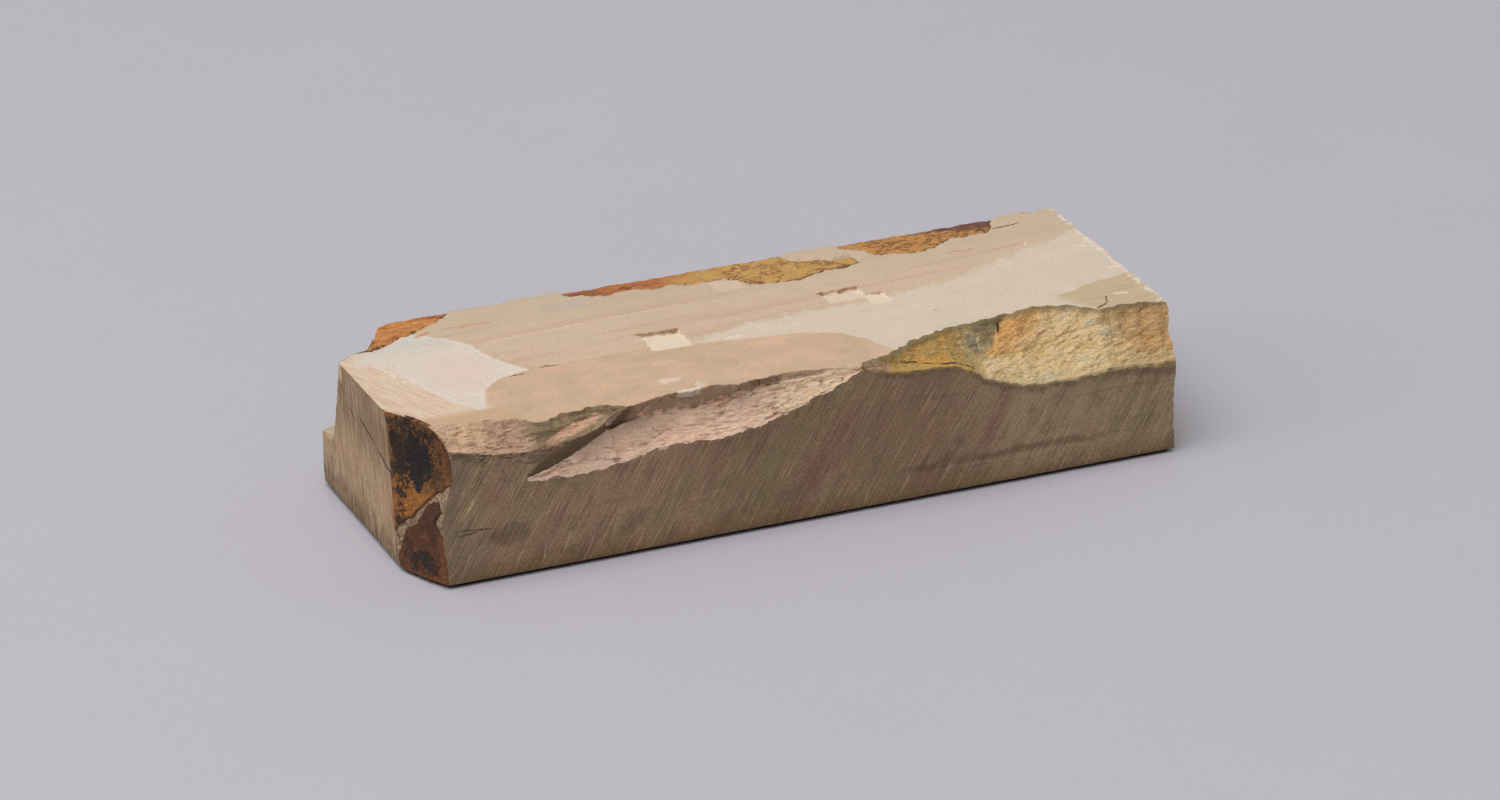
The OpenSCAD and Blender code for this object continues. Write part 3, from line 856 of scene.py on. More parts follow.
class Value:
    """A number that varies over a surface, made by a material's nodes."""

    def __init__(self, paint, socket):
        self.paint, self.socket = paint, socket

    def __add__(self, other):
        return self.paint.math("ADD", self, other)

    def __sub__(self, other):
        return self.paint.math("SUBTRACT", self, other)

    def __rsub__(self, other):
        return self.paint.math("SUBTRACT", other, self)

    def __mul__(self, other):
        return self.paint.math("MULTIPLY", self, other)

    def __truediv__(self, other):
        return self.paint.math("MULTIPLY", self, 1 / other)

    def __abs__(self):
        return self.paint.math("ABSOLUTE", self)

    __radd__, __rmul__ = __add__, __mul__


class Nodes:
    """Makes shader nodes in a tree."""

    def __init__(self, tree):
        self.tree = tree

    def put(self, socket, value):
        if isinstance(value, Value):
            value = value.socket
        if isinstance(value, bpy.types.NodeSocket):
            self.tree.links.new(value, socket)
        elif value is not None:
            socket.default_value = value

    def node(self, kind, *inputs, **settings):
        node = self.tree.nodes.new(kind)
        for key, value in settings.items():
            setattr(node, key, value)
        for socket, value in zip(node.inputs, inputs):
            self.put(socket, value)
        return node

    def math(self, operation, *inputs):
        return Value(self, self.node("ShaderNodeMath", *inputs, operation=operation).outputs[0])

    def most(self, a, b):
        return self.math("MAXIMUM", a, b)

    def mask(self, value, low, high):
        """0 at low, 1 at high, smooth between them."""
        return Value(
            self,
            self.node("ShaderNodeMapRange", value, low, high, interpolation_type="SMOOTHSTEP").outputs[0])


def line_group():
    """A thin line in a plane, 1 on it and 0 beside it, thinning out at its ends."""
    group = bpy.data.node_groups.new("thin_line", "ShaderNodeTree")
    names = ("u", "v", "start u", "start v", "way u", "way v", "length", "width")
    for name in names:
        group.interface.new_socket(name, in_out="INPUT", socket_type="NodeSocketFloat")
    group.interface.new_socket("line", in_out="OUTPUT", socket_type="NodeSocketFloat")
    n = Nodes(group)
    u, v, start_u, start_v, way_u, way_v, length, width = (
        Value(n, s) for s in n.node("NodeGroupInput").outputs[:8])
    du, dv = u - start_u, v - start_v
    run = n.math("DIVIDE", du * way_u + dv * way_v, length)
    off = abs(dv * way_u - du * way_v)
    ends = n.mask(run, 0, 0.3) * n.mask(run, 1, 0.7)
    depth = n.math("DIVIDE", ends * width - off, width)
    n.node("NodeGroupOutput", n.mask(depth, 0, 0.6))
    return group


LINE = line_group()


class Paint(Nodes):
    """One material, written as masks and noise over millimetre coordinates."""

    def __init__(self, name):
        self.material = bpy.data.materials.new(name)
        self.material.use_nodes = True
        super().__init__(self.material.node_tree)
        self.shader = self.tree.nodes["Principled BSDF"]
        self.shader.inputs["Specular IOR Level"].default_value = 0.3
        self.metres = self.node("ShaderNodeTexCoord").outputs["Object"]
        place = self.node("ShaderNodeAttribute", attribute_name="place").outputs["Vector"]
        self.x, self.y, self.z = (Value(self, s) for s in self.node("ShaderNodeSeparateXYZ", place).outputs)

    def field(self, name):
        return Value(self, self.node("ShaderNodeAttribute", attribute_name=name).outputs["Fac"])

    def noise(self, size, seed, detail=2.0, rough=0.5, warp=0.0, turn=(0, 0, 0)):
        """Noise from about -1 to 1, with features of this size in mm along x, y and z before they turn."""
        size = [c * MM for c in size]
        shift = [-seed * k * c for k, c in zip((7.3, 3.1, 5.7), size)]
        place = self.node(
            "ShaderNodeMapping", self.metres, shift, turn, size, vector_type="TEXTURE").outputs[0]
        node = self.node("ShaderNodeTexNoise", place)
        for name, value in (("Scale", 1.0), ("Detail", detail), ("Roughness", rough), ("Distortion", warp)):
            node.inputs[name].default_value = value
        return self.math("MULTIPLY_ADD", Value(self, node.outputs["Fac"]), 5.6, -2.8)

    def line(self, u, v, a, b, width):
        length = math.dist(a, b)
        node = self.tree.nodes.new("ShaderNodeGroup")
        node.node_tree = LINE
        values = (u, v, *a, (b[0] - a[0]) / length, (b[1] - a[1]) / length, length, width)
        for socket, value in zip(node.inputs, values):
            self.put(socket, value)
        return Value(self, node.outputs[0])

    def lines(self, u, v, *rows):
        """Several thin lines together, each (start, end, width)."""
        total = self.line(u, v, *rows[0])
        for row in rows[1:]:
            total = self.most(total, self.line(u, v, *row))
        return total

    def mix(self, base, *layers):
        """Lays (mask, colour) layers over a base."""
        for mask, top in layers:
            node = self.tree.nodes.new("ShaderNodeMix")
            node.data_type = "RGBA"
            for socket, value in zip((node.inputs[0], node.inputs[6], node.inputs[7]), (mask, base, top)):
                self.put(socket, value)
            base = node.outputs[2]
        return base

    def shade(self, base, amount):
        """Brightens or darkens a colour."""
        node = self.tree.nodes.new("ShaderNodeHueSaturation")
        self.put(node.inputs["Value"], amount + 1.0)
        self.put(node.inputs["Color"], base)
        return node.outputs[0]

    def finish(self, base, roughness, height):
        """`height` is the fine relief in millimetres."""
        self.put(self.shader.inputs["Base Color"], base)
        self.put(self.shader.inputs["Roughness"], roughness)
        bump = self.tree.nodes.new("ShaderNodeBump")
        bump.inputs["Distance"].default_value = MM
        self.put(bump.inputs["Height"], height)
        self.put(self.shader.inputs["Normal"], bump.outputs[0])
        return self.material


FRONT_LIGHT, END_LIGHT = 0.53, 0.73  # their share of the top's light: colours there are given as they look
OVER_EDGE = (math.radians(45), 0, 0)  # turns noise so that y runs over the front top edge


def toned(light):
    """The colour function for surfaces that get this share of the top's light."""
    return lambda r, g, b: colour(r, g, b, light)


def oval(u, v, middle_u, middle_v, half_u, half_v):
    """0 at the middle of an oval, 1 on its rim, and more outside it."""
    du, dv = (u - middle_u) / half_u, (v - middle_v) / half_v
    return du * du + dv * dv


def working_face(p, wander, grain):
    """The colour of the working face."""
    x, y, mask = p.x, p.y, p.mask
    streak = p.noise((22, 0.8, 9), 1, 3, turn=(0, 0, 0.03))
    bands = p.noise((60, 4.5, 9), 2, 3, turn=(0, 0, 0.05))
    blotch = p.noise((8, 5, 9), 3, 3)
    tan_line, cream_line = p.field("tan_line"), p.field("cream_line")
    rosy = p.mix(
        colour(210, 184, 157),
        (mask(bands, -0.1, 0.9) * 0.8, colour(203, 171, 147)),
        (mask(bands, -0.4, -1.2) * 0.6, colour(205, 187, 163)),
        (mask(y - blotch * 2, 12, 24) * 0.6, colour(200, 180, 154)))
    cream = p.mix(
        colour(217, 200, 179),
        (mask(streak, 0.1, 1.2) * 0.5, colour(208, 188, 166)),
        (mask(blotch, 0.2, 1.2) * 0.5, colour(222, 203, 180)))
    tan = p.mix(
        colour(207, 176, 146),
        (mask(blotch, 0, 1.1) * 0.9, colour(218, 178, 150)),
        (mask(blotch, 0, -1.1) * 0.7, colour(197, 171, 139)),
        (mask(bands, 0.2, 1.2) * 0.5, colour(211, 171, 142)))
    face = p.mix(
        rosy,
        (mask(cream_line + wander * 3 + streak * 0.6, 1.2, -1.4) * mask(x, -24, -14), cream),
        (mask(tan_line + wander, 1.6, -0.2) * mask(x, 12, -20) * 0.5, colour(213, 172, 136)),
        (mask(tan_line + wander * 0.7, 0.3, -0.2) * mask(x, 34, 20), tan),
        (mask(tan_line + wander * 2 + blotch, 1.8, -2.6) * mask(x, 20, 34), tan))
    # the worn corner at the front right
    worn = mask(y + 14.5 - (x - 84) * 0.28 + blotch * 0.8, 0.5, -0.6) * mask(x + y * 0.6, 64, 70)
    face = p.mix(face, (worn, p.mix(colour(202, 179, 147), (mask(streak, 0, 1), colour(191, 165, 133)))))
    # the pale leaf-shaped stain at the left, crisp on its right side only, and the paler rock beside it
    leaf = p.field("leaf") + wander * 0.8
    left_side = (mask(x + y * 0.3, -75, -84) * mask(y, -2, 9) * 0.9
                 + mask(y, -2, -10) * mask(x, -79, -82) * 0.2)
    leaf_mask = mask(leaf, -0.4, 0.6) * (1 - left_side) + mask(leaf + blotch * 1.6, -3.0, 4.5) * left_side
    centre = mask(oval(x, y, -76.5, -1, 8.5, 13) + wander, 1.3, 0.2)
    slant = p.noise((7, 0.9, 9), 7, 3, turn=(0, 0, 2.016))
    pale = p.mix(
        colour(223, 208, 192), (centre * 0.8, colour(226, 202, 188)),
        (mask(y + blotch, 10, 20), colour(211, 203, 190)),
        (mask(slant, 0.2, 1.4) * 0.4, colour(216, 193, 172)),
        (mask(streak, 0.4, 1.5) * 0.35, colour(232, 216, 202)))
    beside = p.mix(
        colour(222, 197, 172),
        (mask(slant, -0.2, 0.9), colour(214, 178, 152)),
        (mask(slant, -0.4, -1.2), colour(220, 207, 186)),
        (mask(y + slant * 0.5, -21, -24), colour(204, 170, 138)))
    face = p.mix(
        face,
        (mask(x + y * 0.35 + bands, -80, -85), beside),
        (leaf_mask, pale),
        (mask(abs(leaf - 0.6), 0.9, 0.1) * (0.45 - left_side * 0.4), colour(230, 217, 204)))
    # long thin veins, small cracks, rust and scratches
    u, v = x + wander, y + wander * 0.8
    veins = p.lines(
        u, v, ((-70, 12.8), (-32, 14.9), 0.3), ((-40, 14.7), (-8, 15.8), 0.24),
        ((-62, -4.9), (-31, -4.4), 0.3), ((-65, 8), (-61, -2), 0.2), ((-20, 13), (22, 14.5), 0.2))
    dark = p.lines(
        u, v, ((-58.4, -5.5), (-52, -6.5), 0.3), ((-66.3, -7.5), (-61.6, -7.6), 0.34),
        ((79.5, 28.3), (91.5, 29.6), 0.32), ((83.2, -27.4), (88.4, -24.6), 0.42),
        ((88.1, -25.2), (89.2, -20.6), 0.4), ((45.5, -12), (46.8, -12.6), 0.25))
    rust = p.lines(
        u, v, ((-81, 22.4), (-74.5, 24.6), 0.8), ((72.6, 16.4), (86, 17), 0.5),
        ((90, 36), (100.5, 35.2), 1.6), ((61, 19.6), (73, 18.2), 0.35))
    rust = p.most(rust * mask(streak, -1.2, 0.0), p.line(u, v, (-77, 24.6), (-54, 24.2), 0.8) * 0.5)
    white = p.lines(
        u, v, ((97, -5.3), (102.4, -5.8), 0.5), ((90.5, -20.2), (96.4, -21.7), 0.5),
        ((95, 11.4), (99.2, 7.7), 0.3), ((87, 4), (86.9, -1), 0.24), ((86, 19.4), (84, 13.8), 0.22),
        ((-94.6, 12), (-91.6, 0), 0.32), ((-91.9, 1.2), (-88.4, -5), 0.24))
    fringe = mask(x + wander * 1.4 + streak * 0.3, 99.6, 100.6) * mask(p.noise((3, 2.2, 9), 4, 3), -0.5, 0.5)
    grey = p.line(u, v, (-48, 26.5), (-30, 26.5), 3.2) * 0.5
    silver = p.line(u, v, (34, -21.8), (62, -22.4), 1.3) * mask(streak, -0.2, 0.9)
    loop = mask(abs(oval(x, y, -59.6, 15.2, 5.2, 3.6) + wander * 0.3 - 1), 0.24, 0.06)
    face = p.mix(
        face, (grey, colour(188, 176, 162)), (silver * 0.7, colour(184, 178, 172)),
        (veins * 0.65, colour(228, 204, 184)), (loop * 0.3, colour(222, 184, 162)),
        (rust * 0.75, colour(199, 128, 84)), (dark, colour(104, 78, 56)),
        (p.most(fringe * 0.7, white * 0.9), colour(238, 224, 206)))
    # two small pale bruises near the front edge, and a white chip
    for cx, cy, rx, ry, pale_by in (
        (-30.5, -25, 3.4, 1.6, 0.6), (-25.5, -30, 1.6, 1.8, 0.5), (-6.8, -7.6, 2.4, 0.8, 1.0)):
        face = p.mix(
            face,
            (mask(oval(x, y, cx, cy, rx, ry) + wander * 1.5, 1.1, 0.7) * pale_by, colour(232, 214, 196)))
    speck = p.noise((1.1, 0.7, 9), 8, 2, 0.7)
    face = p.shade(
        face,
        grain * 0.09 + speck * 0.04 + streak * 0.02 + blotch * 0.02 - mask(streak, -1.0, -1.7) * 0.03)
    return face


def sawn_front(p, wander, grain):
    """The colour of the sawn front face, and its saw lines."""
    x, z, mask = p.x, p.z, p.mask
    saw = (0, math.radians(30), 0)  # the saw lines lean to the right
    lines = p.noise((0.45, 9, 14), 11, 2, turn=saw)
    fine = p.noise((0.26, 9, 6), 14, 2, turn=saw)
    wide = p.noise((1.8, 9, 26), 12, 3, turn=saw)
    bands = p.noise((8, 9, 24), 13, 3, turn=saw)
    blotch = p.noise((9, 9, 7), 15, 4, 0.6)
    bedding = p.noise((34, 9, 2.4), 17, 3, 0.55, 0.3)
    tone = toned(FRONT_LIGHT)
    face = p.mix(
        tone(108, 87, 67),
        (mask(x + bands * 9, -12, -42), tone(121, 97, 77)),
        (mask(x + bands * 9, 32, 60), tone(124, 106, 82)),
        (mask(bands, 0.0, 1.0) * 0.75, tone(104, 77, 63)),
        (mask(bands, -0.1, -1.1) * 0.8, tone(102, 91, 66)),
        (mask(blotch, 0.2, 1.2) * 0.6, tone(116, 87, 68)),
        (mask(blotch, -0.3, -1.3) * 0.7, tone(88, 75, 56)),
        (mask(bedding, 0.4, 1.4) * 0.4, tone(84, 67, 51)),
        (mask(bedding, -0.6, -1.5) * 0.3, tone(130, 110, 86)))
    # greyer by the corner with a few ochre saw lines, darker low down, and a soft dark band at the right
    ochre = (mask(abs(x + 84.3 - (z - 31) * 0.29 + blotch * 0.7), 3.4, 1.2) * mask(z, 14, 20)
             * mask(lines + fine, -0.3, 1.0))
    face = p.mix(
        face,
        (mask(x + wide * 2, -78, -90) * 0.75, tone(101, 88, 69)),
        (ochre * 0.65, tone(166, 140, 103)),
        (mask(z + blotch * 1.5, 8, 1) * 0.7, tone(92, 71, 46)),
        (
            mask(abs(z - 9.0 + blotch * 0.9), 1.8, 0.3) * mask(x, 18, 34) * mask(x, 88, 74) * 0.6,
            tone(78, 60, 44)))
    face = p.mix(
        face,
        (mask(oval(x, z, -76.8, 11.7, 5.5, 3.6) + blotch * 0.4, 1.2, 0.4) * 0.6, tone(80, 68, 53)),
        (mask(wide, 0.5, 1.6) * 0.32, tone(132, 112, 90)),
        (mask(wide, -0.4, -1.4) * 0.42, tone(84, 66, 51)),
        (mask(lines, 0.3, 1.5) * 0.5, tone(145, 125, 101)),
        (mask(lines, -0.3, -1.5) * 0.55, tone(70, 54, 41)),
        (mask(fine + wide * 0.5 + blotch * 0.5, 0.9, 2.0) * 0.5, tone(156, 136, 110)),
        (mask(fine, -0.6, -1.5) * 0.5, tone(56, 43, 33)))
    u, v = x + wander * 0.4, z + wander * 0.5
    marks = p.lines(u, v, ((-93, 15.4), (-79, 14.2), 0.2), ((-92, 13.8), (-84, 14.4), 0.16))
    pale = p.lines(
        u, v, ((-76, 2.5), (-73.6, 8.5), 0.2), ((-68.6, 3), (-68, 8.6), 0.2), ((-64, 3.4), (-61, 11), 0.2),
        ((-89, 6), (-87, 9), 0.18), ((-58, 2), (-55, 9), 0.16))
    # broken and darker just under the left break and the natural face: partly cracked rock, partly painted
    # shadow under their overhanging lower rims
    seams = abs(p.noise((5, 5, 1.0), 16, 3, 0.6, 0.4))
    under = mask(p.field("left_break") + wander, -5.5, -0.6) * mask(seams, 0.4, 0.08) * mask(x, -46, -56)
    ragged = (mask(p.field("natural_front") + wander * 1.2, -2.4, -0.4) * mask(x, 16, 24)
              * mask(blotch + wander * 2, -1.4, 0.4))
    # the two dark strips below: cracks, and painted shadow under the rims
    face = p.mix(
        face, (marks, tone(56, 42, 31)), (pale * 0.35, tone(172, 154, 132)),
        (under * 0.8, tone(58, 45, 33)), (ragged * 0.6, tone(74, 60, 44)))
    return p.shade(face, grain * 0.22 + fine * 0.05 + lines * 0.03 + 0.05), lines


def sawn_end(p, wander, grain):
    """The colour of the sawn left end, and its saw lines."""
    y, z, mask = p.y, p.z, p.mask
    saw = (math.radians(-10), 0, 0)  # nearly upright saw lines
    lines = p.noise((9, 0.42, 11), 21, 2, turn=saw)
    wide = p.noise((9, 1.8, 24), 22, 3, turn=saw)
    fine = p.noise((9, 0.5, 5), 24, 2, turn=saw)
    blotch = p.noise((9, 6, 6), 23, 4, 0.6)
    tone = toned(END_LIGHT)
    face = p.mix(
        tone(166, 137, 108),
        (mask(z + blotch * 2, 18, 30), tone(125, 103, 76)),
        (mask(z + blotch * 2, 12, 3), tone(108, 86, 62)),
        (mask(blotch, 0.0, 1.1) * 0.6, tone(162, 134, 106)),
        (mask(blotch, -0.2, -1.2) * 0.6, tone(130, 106, 84)),
        (mask(wide, 0.1, 1.2) * 0.45, tone(164, 142, 118)),
        (mask(wide, -0.2, -1.2) * 0.6, tone(114, 90, 71)),
        (mask(lines, 0.1, 1.3) * 0.7, tone(188, 165, 138)),
        (mask(lines, -0.1, -1.2) * 0.65, tone(98, 75, 56)),
        (mask(fine, 0.5, 1.4) * 0.5, tone(200, 180, 152)),
        (mask(fine, -0.6, -1.5) * 0.65, tone(78, 57, 42)))
    u, v = y + wander * 0.5, z + wander * 0.7
    cracks = p.lines(
        u, v, ((4.5, 31), (-9, 27.2), 0.36), ((-7.5, 27.6), (-20.8, 23.2), 0.4),
        ((9.8, 30.4), (5, 27.4), 0.26), ((15.5, 35.5), (12, 31), 0.24))
    halo = p.line(u, v, (1, 30), (-14, 25.2), 1.2)
    chip = mask(wander * 2 - abs(y - 15) / 1.2 - abs(z - 37) / 2.4 + 0.7, -0.1, 0.15)
    face = p.mix(
        face, (halo * 0.35, tone(150, 98, 72)), (cracks, tone(54, 38, 28)), (chip, tone(190, 164, 134)))
    return p.shade(face, grain * 0.18 + lines * 0.04), lines


def broken_rock(p, grain, relief, shared, fresh, deep, warm, light):
    """A broken surface: pale ledges and raised flakes as painted highlights, dark hollows and low flakes as
    painted shade, warm in places, with thin cracks along its beds.
    """
    lumps, patches, flakes, cracks = shared
    mask = p.mask
    tone = lambda c: colour(*c, light)
    # deeper hollows (high relief) and low flakes painted darker as shade, raised flakes painted paler as
    # highlights
    face = p.mix(
        tone(fresh), (mask(patches, 0.0, 1.0) * 0.7, tone(warm)),
        (mask(relief + lumps * 0.2, 0.3, 1.5) * 0.6, tone(deep)),
        (mask(flakes, 0.5, 1.4) * 0.5, tone([min(250, c * 1.14) for c in fresh])),
        (mask(flakes, -0.9, -1.7) * 0.5, tone([c * 0.74 for c in deep])),
        (cracks * 0.62, tone([c * 0.45 for c in deep])))
    # raised flakes also brightened a little: painted highlight
    return p.shade(face, grain * 0.08 + flakes * 0.05)


def stone_material(part):
    """The block's material on its top, on its sawn front or on its other sides ("top", "front" or "side")."""
    p = Paint("whetstone_" + part)
    x, y, z, mask = p.x, p.y, p.z, p.mask
    wander = p.noise((2.2, 2.2, 2.2), 5, 3) * 0.5
    grain = p.noise((0.5, 0.5, 0.5), 6, 2, 0.7)
    relief, wall = p.field("relief"), p.field("wall")
    lines = None
    if part == "top":
        face = working_face(p, wander, grain)
    elif part == "front":
        face, lines = sawn_front(p, wander, grain)
    else:
        face, lines = sawn_end(p, wander, grain)

    def lay(mask, other):
        nonlocal face
        face = p.mix(face, (mask, other))

    # everything broken shares one set of lumps, flakes and cracks
    lumps = p.noise((3, 1.6, 1.2), 31, 4, 0.6)
    patches = p.noise((8, 4, 4), 32, 3)
    flakes = p.noise((1.7, 0.7, 0.6), 33, 5, 0.72, 0.3)
    bed = p.noise((10, 2.4, 20), 34, 2, 0.5, turn=OVER_EDGE)
    hair = p.noise((7, 1.3, 20), 37, 2, 0.5, turn=OVER_EDGE)
    reach = p.noise((12, 5, 20), 35, 1, turn=OVER_EDGE)
    cracks = p.most(
        mask(abs(bed), 0.13, 0.02) * mask(reach, 0.0, 0.5),
        mask(abs(hair), 0.12, 0.02) * mask(patches - reach, 0.1, 0.7) * 0.8)
    shared = lumps, patches, flakes, cracks

    def rock(*colours):
        return broken_rock(p, grain, relief, shared, *colours)

    if part == "side":
        beds = p.noise((40, 40, 3.4), 38, 4, 0.6, 0.3)
        lay(
            mask(p.most(p.field("is_right"), p.field("is_back")) + wander * 0.5, -0.1, 0.1),
            p.mix(
                rock((176, 151, 124), (132, 108, 84), (186, 146, 106), 0.8),
                (mask(beds, 0.1, 1.2) * 0.6, rock((192, 166, 136), (140, 116, 90), (198, 158, 120), 0.8)),
                (mask(beds, -0.2, -1.3) * 0.6, rock((148, 122, 98), (104, 82, 62), (160, 118, 84), 0.8))))
    # the left break: chalky at the left, then an olive slope with a pink and orange ridge across it
    along_x, s = x + 59.5, y + z - (FRONT + TOP)
    du, dv = along_x / 8.5, (s + 1.4 - along_x * 0.42) / 1.9
    olive = rock((150, 128, 98), (88, 72, 53), (134, 110, 84), 0.7)
    on_ridge = mask(du * du + dv * dv + lumps * 0.5, 1.3, 0.5)
    ridge_pink = rock((206, 168, 140), (150, 118, 94), (208, 156, 126), 0.7)
    spots = mask(lumps + flakes * 0.5, 0.9, 1.6) * 0.8
    ridge = p.mix(olive, (on_ridge, p.mix(ridge_pink, (spots, colour(218, 144, 108, 0.72)))))
    band = p.mix(
        rock((200, 165, 134), (136, 106, 82), (176, 138, 118), 0.7),
        (mask(x + lumps * 2, -81, -77) * 0.5, colour(160, 126, 110, 0.7)),
        (cracks * 0.5, colour(84, 66, 50, 0.7)), (mask(x + lumps * 2.5, -73, -69), ridge))
    lay(mask(p.field("left_break") + wander * 0.4, -0.05, 0.2), band)
    lay(
        mask(p.field("natural_front") + wander * 0.4, -0.05, 0.2),
        rock((150, 130, 96), (104, 88, 62), (160, 128, 84), 0.8))
    if part != "side":
        # the fresh shell-shaped break: bright and pink, browner in its upper wall and creamier at the right
        pink = rock((224, 191, 166), (200, 160, 136), (224, 178, 154), 0.74)
        brown = rock((168, 140, 112), (106, 84, 62), (172, 136, 108), 0.72)
        cream = rock((218, 190, 160), (154, 122, 96), (210, 170, 140), 0.74)
        over_crease = p.field("over_crease") + wander * 2
        low = p.mix(pink, (mask(x + lumps * 4, -16, -4), cream))
        browner = mask(over_crease + lumps * 0.5, -0.6, 0.8) * (mask(x + lumps * 3, 0, -12) * 0.35 + 0.65)
        fresh = p.mix(low, (browner, brown))
        lay(mask(p.field("middle_break") + wander * 0.3, -0.05, 0.12), fresh)
        # the cove at its left: a smooth undercut above the pink face, painted dark olive-brown as its shade,
        # lighter higher up the wall and darkest along the crease as a painted shadow line
        undercut_shade = p.mix(
            colour(98, 79, 57, 0.62),
            (mask(grain, 0, 1.2) * 0.3, colour(120, 97, 73, 0.62)),
            (mask(lumps, 0, 1.2) * 0.5, colour(82, 66, 47, 0.62)),
            (mask(wall + lumps * 0.3, 2.4, 5.0) * 0.5, colour(128, 106, 82, 0.62)),
            # painted shadow line along the crease
            (mask(wall, 0.9, 0.1) * 0.6, colour(58, 45, 33, 0.62)))
        cove = p.mix(pink, (mask(wall, -0.1, 0.1), undercut_shade))
        lay(
            mask(p.field("cove"), -0.03, 0.05) * mask(x, -42, -46) * mask(p.field("left_break"), 0.1, -0.1),
            cove)
    # pale fresh chips where the quarried corners broke
    chips = p.mix(
        colour(132, 108, 84, END_LIGHT),
        (mask(flakes + lumps * 0.5, -0.2, 0.8), colour(196, 170, 138, END_LIGHT)),
        (mask(lumps, 0.4, 1.2), colour(150, 118, 86, END_LIGHT)),
        (mask(flakes, 0.5, 1.2), colour(104, 76, 54, END_LIGHT)),
        (cracks, colour(70, 48, 32, END_LIGHT)))
    lay(mask(p.field("corner"), -0.05, 0.05), chips)
    lay(
        mask(p.field("rear_corner"), -0.05, 0.05) * mask(x + lumps * 3, -70, -76),
        p.mix(
            colour(168, 147, 122, 0.8),
            (mask(patches, 0, 1), colour(144, 118, 92, 0.8)),
            (mask(abs(z - 15.0), 1.6, 0.6), colour(204, 190, 168))))
    if part == "top":
        # chisel marks: cream where the chisel ran, and a band on and just behind the end wall at the deep end
        # painted brown as that wall's shade
        ticks = p.noise((5, 0.5, 9), 36, 2)
        lay(
            mask(p.field("mark"), -0.05, 0.12) * mask(z, TOP - 2.4, TOP - 1.6),
            p.mix(
                colour(234, 214, 189),
                (mask(ticks, 0.2, 1.5) * 0.5, colour(220, 194, 166)),
                (p.most(mask(y, 12, 16) * 0.8, mask(y, -20, -24) * 0.3), colour(212, 184, 160)),
                (mask(x, 14, 20) * mask(x, 34, 32) * 0.5, colour(224, 194, 172))))
        # painted shade on and behind the end wall of each mark
        lay(
            mask(p.field("mark_wall") + wander * 0.3, 0.15, 0.45) * mask(z, TOP - 2, TOP - 1.5),
            p.mix(colour(158, 122, 90), (mask(grain, -0.4, 1), colour(184, 148, 116))))
    # painted contact shadow along the worn foot: near-black at the very bottom, with a few lighter flecks
    lay(
        mask(z + wander * 0.15, 1.3, 0.9),
        p.mix(colour(24, 18, 13), (mask(flakes, 0.8, 1.6) * 0.6, colour(60, 44, 32))))
    broken = p.field("broken")
    relief = grain * 0.045 + (flakes * 0.15 + lumps * 0.05) * broken
    if lines:
        relief = relief + lines * (1 - broken) * 0.06
    return p.finish(face, 0.8, relief)


